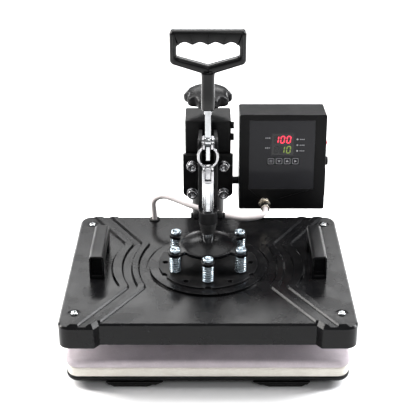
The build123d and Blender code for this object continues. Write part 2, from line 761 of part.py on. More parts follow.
def control_box_back():
    """Rear cover with a row of vent slots."""
    plate = block(BOX_X, (BOX_DEPTH - BOX_WALL, BOX_DEPTH), (0, BOX_HEIGHT))
    plate = fillet(plate.edges().filter_by(Axis.Y), 3)
    for i in range(7):
        low = 40 + 10 * i
        plate -= block((80, 140), (BOX_DEPTH - BOX_WALL, BOX_DEPTH), (low, low + 4))
    return in_box_frame(plate)


def panel_film():
    """Front film with an opening for the window and one for each key."""
    film = block(FILM_X, FILM_V, FILM_W) - block(WINDOW_X, FILM_V, WINDOW_W)
    for _, x in key_places():
        film -= key_hole(x, FILM_V)
    return in_box_frame(film)


def display_window():
    return in_box_frame(block(WINDOW_X, FILM_V, WINDOW_W))


def key(x):
    """One square key with rounded corners."""
    half = KEY_SIZE / 2
    cap = block((x - half, x + half), (0, 4), (KEY_ROW_W - half, KEY_ROW_W + half))
    return in_box_frame(fillet(cap.edges().filter_by(Axis.Y), 2))


def circuit_board():
    return in_box_frame(block((58, 150), (9, 10.6), (28, 140)))


def heater_relay():
    """Relay block on the back of the board."""
    return in_box_frame(block((68, 100), (10.6, 32), (36, 62)))


def switch_bezel():
    """Frame of the rocker switch, through the box's side wall."""
    v = (ROCKER_V - 9, ROCKER_V + 9)
    w = (ROCKER_W - 13, ROCKER_W + 13)
    bezel = block((158, BOX_X[1]), v, w)
    bezel += block((BOX_X[1], BOX_X[1] + 1.8), (v[0] - 2, v[1] + 2), (w[0] - 2, w[1] + 2))
    inside = block((160, BOX_X[1] + 1.8), (v[0] + 1.5, v[1] - 1.5), (w[0] + 1.5, w[1] - 1.5))
    return in_box_frame(bezel - inside)


def rocker_switch():
    """Rocker, tipped to its on side."""
    half_v, half_w = 7.0, 9.6
    rocker = block(
        (ROCKER_X - 3, ROCKER_X + 8),
        (ROCKER_V - half_v, ROCKER_V + half_v),
        (ROCKER_W - half_w, ROCKER_W + half_w),
    )
    rocker -= rod_y(60, (ROCKER_V - 8, ROCKER_V + 8), (ROCKER_X + 66.5, ROCKER_W))
    centre = Pos(ROCKER_X, 0, ROCKER_W)
    tipped = centre * Rot(0, ROCKER_THROW, 0) * centre.inverse() * rocker
    return in_box_frame(tipped)


def power_inlet():
    """Three-pin appliance inlet with a flange on the side wall."""
    inlet = block((158, BOX_X[1]), (15, 39), (26, 54))
    inlet += block((BOX_X[1], BOX_X[1] + 2), (12, 42), (18, 62))
    inlet -= block((160, BOX_X[1] + 2), (19, 35), (29, 51))
    for v, w in ((27, 34), (27, 46), (23, 40)):
        inlet += block((160, 170), (v - 1, v + 1), (w - 2.5, w + 2.5))
    return in_box_frame(inlet)


def fuse_holder():
    """Round screw-in fuse holder."""
    return in_box_frame(rod_x(6, (160, BOX_X[1]), (27, 69)) + rod_x(6.8, (BOX_X[1], BOX_X[1] + 6), (27, 69)))


def cable_gland():
    """Gland: lock nut inside, hexagon on the face, long round sleeve that grips the cable."""
    at = (GLAND_X, GLAND_W)
    hexagon = Pos(GLAND_X, 0, GLAND_W) * Rot(90, 0, 0) * extrude(RegularPolygon(9.5, 6), 8)
    gland = hexagon + rod_y(6, (0, BOX_WALL + 5), at) + rod_y(8, (BOX_WALL, BOX_WALL + 4), at)
    gland += rod_y(6.6, (-GLAND_LENGTH, -8), at)
    return in_box_frame(gland - rod_y(CABLE_R, (-GLAND_LENGTH, BOX_WALL + 5), at))


def box_spacer():
    """Round distance piece between the head's side and the control box."""
    return rod_x(6, (HEAD_HALF_X, BOX_X[0]), (SPACER_Y, SPACER_Z))


# ---------------------------------------------------------------- heater cable
def bend_radii(points):
    """The largest tangent arc at each corner that leaves its two runs some straight."""
    radii = []
    for before, corner, after in zip(points, points[1:], points[2:]):
        run_in = Vector(*corner) - Vector(*before)
        run_out = Vector(*after) - Vector(*corner)
        half_turn = math.radians(run_in.get_angle(run_out)) / 2
        radii.append(0.45 * min(run_in.length, run_out.length) / math.tan(half_turn))
    return radii


def heater_cable():
    """Silicone cable from the gland's mouth to the hole in the cover."""
    start = [Vertex(GLAND_X, -GLAND_LENGTH - far, GLAND_W) for far in (0, CABLE_START)]
    points = [tuple(in_box_frame(end).center()) for end in start] + CABLE_ROUTE
    radii = bend_radii(points)
    path = FilletPolyline(*points, radius=radii)
    tube = sweep(Plane(origin=path @ 0, z_dir=path % 0) * Circle(CABLE_R), path)
    print("cable bend radii", [round(r, 1) for r in radii], "length", round(path.length, 1))
    print("cable volume ratio", round(tube.volume / (math.pi * CABLE_R**2 * path.length), 4))
    return tube


# ---------------------------------------------------------------- the assembly
def all_pieces():
    pieces = {
        "base_frame": base_frame(),
        "rubber_feet": rubber_feet(),
        "post_column": post_column(),
        "column_bolts": column_bolts(),
        "lower_tray": lower_tray(),
        "pad_backing": pad_backing(),
        "silicone_pad": silicone_pad(),
        "post_bush": post_bush(),
        "knob_screw": knob_screw(),
        "pressure_knob": pressure_knob(),
        "head_block": head_block(),
        "head_side_bolts": head_side_bolts(),
        "front_plate": front_plate(),
        "front_plate_screws": front_plate_screws(),
        "arm_cheek_left": arm_cheek((-CHEEK_OUT, -CHEEK_IN)),
        "arm_cheek_right": arm_cheek((CHEEK_IN, CHEEK_OUT)),
        "arm_web": arm_web(),
        "lever_pivot_pin": lever_pivot_pin(),
        "ram_guide": ram_guide(),
        "guide_boot": guide_boot(),
        "guide_clamp_bolt": guide_clamp_bolt(),
        "lever_bar": lever_bar(),
        "lever_handle": lever_handle(),
        "yoke_ring": yoke_ring(),
        "yoke_pin": yoke_pin(),
        "ram_shaft": ram_shaft(),
        "ram_clevis": ram_clevis(),
        "clevis_pin": clevis_pin(),
        "spider": spider(),
        "platen_cover": platen_cover(),
        "cover_grommet": cover_grommet(),
        "centre_plate": centre_plate(),
        "spring_bolts": spring_bolts(),
        "platen_springs": platen_springs(),
        "insulation": insulation(),
        "heater_element": heater_element(),
        "thermocouple": thermocouple(),
        "heating_plate": heating_plate(),
        "corner_screws": corner_screws(),
        "side_handle_left": side_handle(-1),
        "side_handle_right": side_handle(1),
        "side_handle_screws": side_handle_screws(),
        "box_spacer": box_spacer(),
        "control_box_shell": control_box_shell(),
        "control_box_back": control_box_back(),
        "panel_film": panel_film(),
        "display_window": display_window(),
        "circuit_board": circuit_board(),
        "heater_relay": heater_relay(),
        "switch_bezel": switch_bezel(),
        "rocker_switch": rocker_switch(),
        "power_inlet": power_inlet(),
        "fuse_holder": fuse_holder(),
        "cable_gland": cable_gland(),
        "heater_cable": heater_cable(),
    }
    for name, x in key_places():
        pieces[name] = key(x)
    return pieces


os.makedirs("parts", exist_ok=True)
for node, shape in all_pieces().items():
    export_step(Pos(0, ORIGIN_SHIFT, 0) * shape, f"parts/{node}.step")
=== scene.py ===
import json
import math

import bmesh
import bpy
from mathutils import Matrix, Vector


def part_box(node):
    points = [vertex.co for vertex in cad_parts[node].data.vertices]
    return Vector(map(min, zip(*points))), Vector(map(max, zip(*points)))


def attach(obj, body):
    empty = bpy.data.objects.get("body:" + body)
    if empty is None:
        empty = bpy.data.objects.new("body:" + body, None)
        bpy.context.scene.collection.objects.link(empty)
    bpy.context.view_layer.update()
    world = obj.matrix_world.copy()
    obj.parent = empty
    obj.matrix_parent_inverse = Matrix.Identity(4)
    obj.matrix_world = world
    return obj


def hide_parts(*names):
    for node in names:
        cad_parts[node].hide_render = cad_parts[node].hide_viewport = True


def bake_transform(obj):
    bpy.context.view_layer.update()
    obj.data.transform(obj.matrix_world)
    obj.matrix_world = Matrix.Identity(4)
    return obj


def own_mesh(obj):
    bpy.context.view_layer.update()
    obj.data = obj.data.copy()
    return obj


# A swing-away flat heat press. Everything is in metres in the row frame: the operator stands
# on the -Y side, the floor is z = 0, and the ram's axis is behind the middle of the footprint.

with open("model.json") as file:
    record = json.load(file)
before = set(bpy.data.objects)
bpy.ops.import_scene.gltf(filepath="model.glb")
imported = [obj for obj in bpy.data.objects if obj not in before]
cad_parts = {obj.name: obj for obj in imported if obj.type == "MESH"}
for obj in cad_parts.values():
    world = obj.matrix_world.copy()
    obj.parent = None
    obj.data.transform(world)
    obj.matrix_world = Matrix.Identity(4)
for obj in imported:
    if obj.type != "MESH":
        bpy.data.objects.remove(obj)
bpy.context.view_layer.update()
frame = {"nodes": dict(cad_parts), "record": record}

MM = 0.001
NODES = frame["nodes"]
RAM_LOW, RAM_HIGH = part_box("ram_shaft")
RAM_X = (RAM_LOW.x + RAM_HIGH.x) / 2
RAM_Y = (RAM_LOW.y + RAM_HIGH.y) / 2
BODY_OF = {n: body for body, names in frame["record"]["behaviour"]["bodies"].items() for n in names}


# ---------------------------------------------------------------- camera, light and floor
def make_camera():
    data = bpy.data.cameras.new("press_camera")
    data.sensor_width = 36.0
    data.lens = 91.0
    data.clip_start = 0.05
    data.clip_end = 30.0
    camera = bpy.data.objects.new("press_camera", data)
    camera.location = (0.0, -1.3277, 0.853)
    camera.rotation_euler = (math.radians(63.1), 0.0, 0.0)
    bpy.context.scene.collection.objects.link(camera)
    bpy.context.scene.camera = camera


def soft_box(name, at, look_at, size, watts, tint=(1.0, 1.0, 1.0)):
    """A rectangular studio light aimed at a point."""
    data = bpy.data.lights.new(name, "AREA")
    data.shape = "RECTANGLE"
    data.size, data.size_y = size
    data.energy = watts
    data.color = tint
    lamp = bpy.data.objects.new(name, data)
    lamp.location = at
    away = Vector(at) - Vector(look_at)
    lamp.rotation_euler = away.to_track_quat("Z", "Y").to_euler()
    bpy.context.scene.collection.objects.link(lamp)


def make_studio():
    world = bpy.data.worlds.new("studio")
    world.use_nodes = True
    backdrop = world.node_tree.nodes["Background"]
    backdrop.inputs["Color"].default_value = (0.95, 0.97, 1.0, 1.0)
    backdrop.inputs["Strength"].default_value = 0.28
    bpy.context.scene.world = world
    bpy.context.scene.view_settings.view_transform = "Standard"
    soft_box("overhead", (0.0, 0.35, 2.0), (0.0, 0.05, 0.1), (2.6, 1.6), 50.0)
    soft_box("behind", (0.0, 1.9, 1.35), (0.0, 0.0, 0.2), (1.5, 0.35), 14.0)
    soft_box("left_side", (-1.25, 0.2, 1.0), (0.0, 0.0, 0.15), (0.3, 1.0), 38.0, (1.0, 0.98, 0.96))
    soft_box("right_side", (1.25, 0.2, 1.0), (0.0, 0.0, 0.15), (0.3, 1.0), 38.0, (0.97, 0.98, 1.0))
    soft_box("left_rim", (-1.0, 1.8, 0.5), (0.0, 0.0, 0.15), (0.3, 0.5), 7.0)
    soft_box("right_rim", (1.0, 1.8, 0.5), (0.0, 0.0, 0.15), (0.3, 0.5), 7.0)
    soft_box("front_fill", (0.3, -2.2, 1.9), (0.0, 0.0, 0.15), (0.5, 0.4), 6.0)


def make_floor():
    half = 6.0
    mesh = bpy.data.meshes.new("floor")
    steps = 12
    verts, faces = grid(steps, steps, lambda u, v: (half * (2 * u - 1), half * (2 * v - 1), 0.0))
    mesh.from_pydata(verts, [], faces)
    floor = bpy.data.objects.new("floor", mesh)
    bpy.context.scene.collection.objects.link(floor)
    mesh.materials.append(floor_paint())


# ---------------------------------------------------------------- mesh helpers
def grid(across, along, place):
    """Points and quads of a sheet, from a function of two values from 0 to 1."""
    verts = [place(i / across, j / along) for j in range(along + 1) for i in range(across + 1)]
    row = across + 1
    faces = [
        (j * row + i, j * row + i + 1, (j + 1) * row + i + 1, (j + 1) * row + i)
        for j in range(along)
        for i in range(across)
    ]
    return verts, faces


def new_piece(name, verts, faces, body, material, replaces=(), smooth=True):
    """A piece from points and faces, on its body, with its finish."""
    mesh = bpy.data.meshes.new(name)
    mesh.from_pydata(verts, [], faces)
    tidy_mesh(mesh, smooth)
    mesh.materials.append(material)
    piece = bpy.data.objects.new(name, mesh)
    bpy.context.scene.collection.objects.link(piece)
    if body:
        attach(piece, body)
    if replaces:
        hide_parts(*replaces)
    return piece


def tidy_mesh(mesh, smooth):
    bm = bmesh.new()
    bm.from_mesh(mesh)
    bmesh.ops.remove_doubles(bm, verts=bm.verts, dist=1e-7)
    bmesh.ops.recalc_face_normals(bm, faces=bm.faces)
    for face in bm.faces:
        face.smooth = smooth
    bm.to_mesh(mesh)
    bm.free()


def join_parts(parts):
    """Several (points, faces) as one."""
    verts, faces = [], []
    for part_verts, part_faces in parts:
        base = len(verts)
        verts += part_verts
        faces += [tuple(base + i for i in face) for face in part_faces]
    return verts, faces


def moved(part, matrix):
    """A (points, faces) pair put through a matrix."""
    verts, faces = part
    return [tuple(matrix @ Vector(v)) for v in verts], faces


def rings_to_faces(rings, count, closed=False):
    """Quads between rings of points, with a cap on each open end."""
    faces = []
    spans = rings if closed else rings - 1
    for j in range(spans):
        a, b = j * count, ((j + 1) % rings) * count
        for i in range(count):
            k = (i + 1) % count
            faces.append((a + i, a + k, b + k, b + i))
    if not closed:
        faces.append(tuple(range(count - 1, -1, -1)))
        last = (rings - 1) * count
        faces.append(tuple(range(last, last + count)))
    return faces


def polygon(sides, turn=0.0):
    """Radius factor of a regular polygon whose corners are at radius 1."""
    step = 2 * math.pi / sides

    def factor(angle):
        return math.cos(step / 2) / math.cos((angle - turn) % step - step / 2)

    return factor


def lathe(profile, count=48):
    """A solid turned about Z from (radius, height) points; a third value shapes that ring."""
    verts = []
    for station in profile:
        radius, height = station[:2]
        shape = station[2] if len(station) > 2 else None
        for i in range(count):
            angle = 2 * math.pi * i / count
            r = radius * (shape(angle) if shape else 1.0)
            verts.append((r * math.cos(angle), r * math.sin(angle), height))
    return verts, rings_to_faces(len(profile), count)


def tube(points, radius, count=12, closed=False):
    """A round tube along points, its section carried along without twist."""
    points = [Vector(p) for p in points]
    last = len(points) - 1
    verts = []
    side = None
    for i, point in enumerate(points):
        if closed:
            ahead = points[(i + 1) % len(points)] - points[i - 1]
        else:
            ahead = points[min(i + 1, last)] - points[max(i - 1, 0)]
        ahead.normalize()
        if side is None:
            side = ahead.orthogonal().normalized()
        side = (side - ahead * side.dot(ahead)).normalized()
        up = ahead.cross(side)
        r = radius(i / last) if callable(radius) else radius
        for k in range(count):
            angle = 2 * math.pi * k / count
            verts.append(tuple(point + (side * math.cos(angle) + up * math.sin(angle)) * r))
    return verts, rings_to_faces(len(points), count, closed)


def rounded_outline(half_x, half_y, radius, steps=8):
    """Points round a rectangle with rounded corners, about its middle."""
    points = []
    for sx, sy, start in ((1, 1, 0), (-1, 1, 90), (-1, -1, 180), (1, -1, 270)):
        cx, cy = sx * (half_x - radius), sy * (half_y - radius)
        for i in range(steps + 1):
            angle = math.radians(start + 90 * i / steps)
            points.append((cx + radius * math.cos(angle), cy + radius * math.sin(angle)))
    return points


def soft_slab(low, high, radius, profile, steps=10):
    """A rounded plate built from rings: each (inset, height) of the profile is one ring."""
    half_x, half_y = (high.x - low.x) / 2, (high.y - low.y) / 2
    mid_x, mid_y = (high.x + low.x) / 2, (high.y + low.y) / 2
    verts = []
    for inset, height in profile:
        corner = max(radius - inset, 0.0008)
        for x, y in rounded_outline(half_x - inset, half_y - inset, corner, steps):
            verts.append((mid_x + x, mid_y + y, height))
    return verts, rings_to_faces(len(profile), 4 * (steps + 1))


def plate_from(outline, thick):
    """A flat outline of (x, z) points in the panel's plane, thickened back along +Y."""
    count = len(outline)
    verts = [(x, 0.0, z) for x, z in outline] + [(x, thick, z) for x, z in outline]
    return verts, rings_to_faces(2, count)


def soften(name, width, segments=2, angle=32.0):
    """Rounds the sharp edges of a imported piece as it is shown; its own mesh isn't touched."""
    piece = NODES[name]
    weld = piece.modifiers.new("weld", "WELD")
    weld.merge_threshold = 2e-6
    edge = piece.modifiers.new("softened_edges", "BEVEL")
    edge.width = width
    edge.segments = segments
    edge.limit_method = "ANGLE"
    edge.angle_limit = math.radians(angle)
    edge.use_clamp_overlap = False
    edge.loop_slide = False
    edge.miter_outer = "MITER_ARC"
    edge.harden_normals = False
    normals = piece.modifiers.new("flat_shading", "WEIGHTED_NORMAL")
    normals.keep_sharp = False
    normals.weight = 80


def finish_node(name, material, width=0.0, segments=2, angle=32.0):
    """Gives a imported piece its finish, and softened edges where it has them."""
    piece = NODES[name]
    piece.data.materials.clear()
    piece.data.materials.append(material)
    if width:
        soften(name, width, segments, angle)


# ---------------------------------------------------------------- material helpers
def add(tree, kind, settings=None, **inputs):
    """A node with its settings; an input takes a value or another node's socket."""
    node = tree.nodes.new(kind)
    for key, value in (settings or {}).items():
        setattr(node, key, value)
    for key, value in inputs.items():
        plug(tree, node.inputs[key.replace("_", " ")], value)
    return node


def plug(tree, socket, value):
    if isinstance(value, bpy.types.NodeSocket):
        tree.links.new(value, socket)
    elif hasattr(value, "__len__") and len(value) == 3 and socket.type == "RGBA":
        socket.default_value = (*value, 1.0)
    else:
        socket.default_value = value


def sums(tree, operation, a, b=None, clamp=False):
    """One step of arithmetic."""
    node = add(tree, "ShaderNodeMath", {"operation": operation, "use_clamp": clamp})
    plug(tree, node.inputs[0], a)
    if b is not None:
        plug(tree, node.inputs[1], b)
    return node.outputs[0]


def between(tree, value, low, high, new_low=0.0, new_high=1.0):
    """A value's range smoothly moved to another one."""
    node = add(tree, "ShaderNodeMapRange", {"interpolation_type": "SMOOTHSTEP"})
    for socket, number in zip(node.inputs[:5], (value, low, high, new_low, new_high)):
        plug(tree, socket, number)
    return node.outputs[0]


def blended(tree, mask, a, b):
    """Colour a where the mask is 0, b where it is 1."""
    node = add(tree, "ShaderNodeMix", {"data_type": "RGBA"})
    for socket, value in zip((node.inputs[0], node.inputs[6], node.inputs[7]), (mask, a, b)):
        plug(tree, socket, value)
    return node.outputs[2]


def new_group(name, takes, gives):
    """An effect with named inputs and outputs that several finishes share."""
    tree = bpy.data.node_groups.new(name, "ShaderNodeTree")
    for label, default in takes:
        kind = "NodeSocketVector" if isinstance(default, tuple) else "NodeSocketFloat"
        socket = tree.interface.new_socket(name=label, in_out="INPUT", socket_type=kind)
        socket.default_value = default
    for label in gives:
        tree.interface.new_socket(name=label, in_out="OUTPUT", socket_type="NodeSocketFloat")
    return tree, tree.nodes.new("NodeGroupInput"), tree.nodes.new("NodeGroupOutput")


def effect(tree, group, **inputs):
    """Places a shared effect in a finish."""
    node = tree.nodes.new("ShaderNodeGroup")
    node.node_tree = group
    for key, value in inputs.items():
        plug(tree, node.inputs[key.replace("_", " ")], value)
    return node.outputs


def new_material(name):
    material = bpy.data.materials.new(name)
    material.use_nodes = True
    tree = material.node_tree
    tree.nodes.clear()
    shader = add(tree, "ShaderNodeBsdfPrincipled")
    add(tree, "ShaderNodeOutputMaterial", Surface=shader.outputs["BSDF"])
    return material, tree, shader


def bump(tree, shader, height, distance, eased=0.0):
    """Fine relief, on normals that ease over each edge where a radius is given."""
    node = add(tree, "ShaderNodeBump", Distance=distance, Height=height)
    if eased:
        corner = add(tree, "ShaderNodeBevel", {"samples": 4}, Radius=eased)
        plug(tree, node.inputs["Normal"], corner.outputs["Normal"])
    plug(tree, shader.inputs["Normal"], node.outputs["Normal"])


def noise(tree, where, scale, detail=3.0, roughness=0.5):
    node = add(tree, "ShaderNodeTexNoise", Vector=where, Scale=scale, Detail=detail, Roughness=roughness)
    return node.outputs[0]


# ---------------------------------------------------------------- shared effects
def group_grain():
    """Fine texture of paint or moulded plastic, with slow drift in it."""
    tree, start, end = new_group("grain", [("Size", 0.001), ("Drift", 0.05)], ["Height", "Tone"])
    here = add(tree, "ShaderNodeTexCoord").outputs["Object"]
    fine = sums(tree, "DIVIDE", 1.0, start.outputs["Size"])
    slow = sums(tree, "DIVIDE", 1.0, start.outputs["Drift"])
    pebble = add(tree, "ShaderNodeTexVoronoi", {"feature": "SMOOTH_F1"}, Vector=here, Scale=fine).outputs[0]
    fuzz = noise(tree, here, sums(tree, "MULTIPLY", fine, 2.3), 2.0)
    plug(tree, end.inputs["Height"], sums(tree, "ADD", pebble, fuzz))
    plug(tree, end.inputs["Tone"], noise(tree, here, slow, 4.0, 0.6))
    return tree


def group_edge_wear():
    """Mask of corners and edges, broken up where they would be rubbed."""
    takes = [("Radius", 0.001), ("Patch", 0.01), ("Amount", 0.5)]
    tree, start, end = new_group("edge wear", takes, ["Mask"])
    plain = add(tree, "ShaderNodeNewGeometry").outputs["True Normal"]
    round_off = add(tree, "ShaderNodeBevel", {"samples": 4}, Radius=start.outputs["Radius"])
    dot = add(tree, "ShaderNodeVectorMath", {"operation": "DOT_PRODUCT"})
    plug(tree, dot.inputs[0], plain)
    plug(tree, dot.inputs[1], round_off.outputs[0])
    edge = between(tree, dot.outputs["Value"], 0.995, 0.9)
    here = add(tree, "ShaderNodeTexCoord").outputs["Object"]
    patches = noise(tree, here, sums(tree, "DIVIDE", 1.0, start.outputs["Patch"]), 5.0, 0.7)
    worn = between(tree, patches, 0.46, 0.62)
    rubbed = sums(tree, "MULTIPLY", edge, worn)
    plug(tree, end.inputs["Mask"], sums(tree, "MULTIPLY", rubbed, start.outputs["Amount"], True))
    return tree


def group_dust():
    """Mask of the light dust that settles on faces that look up."""
    tree, start, end = new_group("dust", [("Patch", 0.03), ("Amount", 0.3)], ["Mask"])
    normal = add(tree, "ShaderNodeNewGeometry").outputs["Normal"]
    up = add(tree, "ShaderNodeSeparateXYZ", Vector=normal).outputs["Z"]
    here = add(tree, "ShaderNodeTexCoord").outputs["Object"]
    cloud = noise(tree, here, sums(tree, "DIVIDE", 1.0, start.outputs["Patch"]), 6.0, 0.7)
    specks = add(tree, "ShaderNodeTexVoronoi", Vector=here, Scale=420.0).outputs[0]
    lint = between(tree, specks, 0.09, 0.03, 0.0, 0.8)
    settled = sums(tree, "ADD", between(tree, cloud, 0.4, 0.75), lint)
    level = sums(tree, "MULTIPLY", settled, between(tree, up, 0.6, 0.95))
    plug(tree, end.inputs["Mask"], sums(tree, "MULTIPLY", level, start.outputs["Amount"], True))
    return tree


def group_brushed():
    """Fine lines left by grinding or drawing, stretched along one direction."""
    takes = [("Stretch", (1.0, 1.0, 0.02)), ("Size", 0.0004)]
    tree, start, end = new_group("brushed", takes, ["Height", "Tone"])
    here = add(tree, "ShaderNodeTexCoord").outputs["Object"]
    pulled = add(tree, "ShaderNodeVectorMath", {"operation": "MULTIPLY"})
    plug(tree, pulled.inputs[0], here)
    plug(tree, pulled.inputs[1], start.outputs["Stretch"])
    scale = sums(tree, "DIVIDE", 1.0, start.outputs["Size"])
    plug(tree, end.inputs["Height"], noise(tree, pulled.outputs[0], scale, 3.0))
    plug(tree, end.inputs["Tone"], noise(tree, here, 60.0, 4.0, 0.6))
    return tree


def group_fibre():
    """Matted threads or pores of wool, board and sponge."""
    takes = [("Size", 0.0008), ("Stretch", (1.0, 1.0, 1.0))]
    tree, start, end = new_group("fibre", takes, ["Height", "Tone"])
    here = add(tree, "ShaderNodeTexCoord").outputs["Object"]
    pulled = add(tree, "ShaderNodeVectorMath", {"operation": "MULTIPLY"})
    plug(tree, pulled.inputs[0], here)
    plug(tree, pulled.inputs[1], start.outputs["Stretch"])
    scale = sums(tree, "DIVIDE", 1.0, start.outputs["Size"])
    where = pulled.outputs[0]
    threads = add(tree, "ShaderNodeTexNoise", Vector=where, Scale=scale, Detail=4.0, Distortion=1.2)
    plug(tree, end.inputs["Height"], threads.outputs[0])
    plug(tree, end.inputs["Tone"], noise(tree, here, 35.0, 5.0, 0.65))
    return tree


GRAIN = group_grain()
WEAR = group_edge_wear()
DUST = group_dust()
BRUSHED = group_brushed()
FIBRE = group_fibre()


# ---------------------------------------------------------------- finishes
def floor_paint():
    material, tree, shader = new_material("floor_paint")
    tone = effect(tree, GRAIN, Size=0.002, Drift=0.5)
    shade = blended(tree, tone["Tone"], (0.92, 0.92, 0.92), (0.95, 0.95, 0.95))
    plug(tree, shader.inputs["Base Color"], shade)
    shader.inputs["Roughness"].default_value = 0.75
    bump(tree, shader, tone["Height"], 0.00005)
    return material


BARE_METAL = (0.12, 0.12, 0.13)
SETTLED_DUST = (0.2, 0.19, 0.18)
EASED_EDGE = 0.0008


def paint(name, dark, light, rough, grain_size, relief, wear, dust, coat=0.0):
    """A black paint or moulding: grain, drift of tone, rubbed edges and a little dust."""
    material, tree, shader = new_material(name)
    grain = effect(tree, GRAIN, Size=grain_size, Drift=0.05)
    worn = effect(tree, WEAR, Radius=0.0012, Patch=0.012, Amount=wear)["Mask"]
    dusty = effect(tree, DUST, Patch=0.03, Amount=dust)["Mask"]
    body = blended(tree, grain["Tone"], dark, light)
    rubbed = blended(tree, worn, body, BARE_METAL)
    plug(tree, shader.inputs["Base Color"], blended(tree, dusty, rubbed, SETTLED_DUST))
    spread = between(tree, grain["Tone"], 0.3, 0.7, rough - 0.05, rough + 0.05)
    rougher = sums(tree, "MULTIPLY", dusty, 0.3)
    plug(tree, shader.inputs["Roughness"], sums(tree, "ADD", spread, rougher))
    bump(tree, shader, grain["Height"], relief, EASED_EDGE)
    shader.inputs["Specular IOR Level"].default_value = 0.15
    shader.inputs["Coat Weight"].default_value = coat
    shader.inputs["Coat Roughness"].default_value = 0.08
    return material


def metal(name, light, dull, rough, stretch, size, relief, stain=0.5):
    """A bare or plated metal: drawn lines, drift of tone and smudges."""
    material, tree, shader = new_material(name)
    lines = effect(tree, BRUSHED, Stretch=stretch, Size=size)
    smudge = between(tree, lines["Tone"], 0.42, 0.68, 0.0, stain)
    plug(tree, shader.inputs["Base Color"], blended(tree, smudge, light, dull))
    spread = between(tree, lines["Tone"], 0.3, 0.7, rough * 0.75, rough * 1.35)
    plug(tree, shader.inputs["Roughness"], spread)
    shader.inputs["Metallic"].default_value = 1.0
    bump(tree, shader, lines["Height"], relief)
    return material


def fibrous(name, light, dark, rough, size, stretch, relief, sheen=0.0):
    """Board, wool or sponge."""
    material, tree, shader = new_material(name)
    fibre = effect(tree, FIBRE, Size=size, Stretch=stretch)
    mixed = sums(tree, "MULTIPLY", fibre["Tone"], fibre["Height"])
    plug(tree, shader.inputs["Base Color"], blended(tree, between(tree, mixed, 0.12, 0.42), dark, light))
    spread = between(tree, fibre["Tone"], 0.3, 0.7, rough - 0.06, rough + 0.06)
    plug(tree, shader.inputs["Roughness"], spread)
    shader.inputs["Sheen Weight"].default_value = sheen
    bump(tree, shader, fibre["Height"], relief)
    return material


def make_black_powder_coat():
    return paint(
        "black_powder_coat",
        dark=(0.0022, 0.0022, 0.0025),
        light=(0.0035, 0.0035, 0.004),
        rough=0.36,
        grain_size=0.0014,
        relief=0.000025,
        wear=0.3,
        dust=0.06,
    )


def make_cover_black():
    return paint(
        "cover_black",
        dark=(0.0022, 0.0022, 0.0025),
        light=(0.0035, 0.0035, 0.004),
        rough=0.25,
        grain_size=0.0022,
        relief=0.000035,
        wear=0.2,
        dust=0.03,
    )


def make_handle_black():
    return paint(
        "handle_black",
        dark=(0.002, 0.002, 0.002),
        light=(0.004, 0.004, 0.004),
        rough=0.2,
        grain_size=0.0024,
        relief=0.00002,
        wear=0.1,
        dust=0.02,
        coat=0.25,
    )


def make_black_rubber():
    return paint(
        "black_rubber",
        dark=(0.011, 0.011, 0.011),
        light=(0.02, 0.02, 0.02),
        rough=0.72,
        grain_size=0.0007,
        relief=0.00008,
        wear=0.1,
        dust=0.4,
    )


def make_black_plastic():
    return paint(
        "black_plastic",
        dark=(0.005, 0.005, 0.0055),
        light=(0.009, 0.009, 0.0095),
        rough=0.32,
        grain_size=0.0012,
        relief=0.00002,
        wear=0.1,
        dust=0.06,
    )


def make_chrome():
    return metal(
        "chrome",
        light=(0.46, 0.47, 0.48),
        dull=(0.24, 0.25, 0.26),
        rough=0.16,
        stretch=(1.0, 1.0, 0.05),
        size=0.0006,
        relief=0.000008,
    )


def make_zinc():
    return metal(
        "zinc",
        light=(0.50, 0.57, 0.62),
        dull=(0.30, 0.37, 0.43),
        rough=0.24,
        stretch=(1.0, 1.0, 0.6),
        size=0.0009,
        relief=0.00003,
        stain=0.8,
    )


def make_steel():
    return metal(
        "steel",
        light=(0.42, 0.42, 0.43),
        dull=(0.22, 0.22, 0.23),
        rough=0.22,
        stretch=(1.0, 1.0, 0.04),
        size=0.0005,
        relief=0.00002,
        stain=0.7,
    )


def make_aluminium():
    return metal(
        "aluminium",
        light=(0.70, 0.71, 0.72),
        dull=(0.52, 0.53, 0.54),
        rough=0.34,
        stretch=(0.03, 1.0, 1.0),
        size=0.0007,
        relief=0.00002,
    )


def make_brass():
    return metal(
        "plated_brass",
        light=(0.74, 0.69, 0.60),
        dull=(0.50, 0.43, 0.33),
        rough=0.22,
        stretch=(1.0, 0.1, 1.0),
        size=0.0006,
        relief=0.00002,
        stain=0.7,
    )


def make_pad_grey():
    return fibrous(
        "pad_grey",
        light=(0.50, 0.445, 0.475),
        dark=(0.38, 0.335, 0.36),
        rough=0.66,
        size=0.0011,
        stretch=(1.0, 1.0, 1.0),
        relief=0.00012,
        sheen=0.15,
    )


def make_backing_cream():
    return fibrous(
        "backing_cream",
        light=(0.80, 0.77, 0.70),
        dark=(0.68, 0.64, 0.57),
        rough=0.8,
        size=0.0016,
        stretch=(0.2, 0.2, 1.6),
        relief=0.00015,
    )


def make_white_silicone():
    return fibrous(
        "white_silicone",
        light=(0.60, 0.555, 0.55),
        dark=(0.48, 0.44, 0.435),
        rough=0.46,
        size=0.0016,
        stretch=(1.0, 1.0, 1.0),
        relief=0.00005,
        sheen=0.1,
    )


def make_ceramic_wool():
    return fibrous(
        "ceramic_wool",
        light=(0.80, 0.79, 0.76),
        dark=(0.58, 0.56, 0.53),
        rough=0.95,
        size=0.0018,
        stretch=(0.15, 1.0, 2.0),
        relief=0.0006,
        sheen=0.3,
    )


def make_board_green():
    return paint(
        "board_green",
        dark=(0.012, 0.07, 0.03),
        light=(0.02, 0.1, 0.045),
        rough=0.35,
        grain_size=0.0012,
        relief=0.00004,
        wear=0.0,
        dust=0.1,
    )


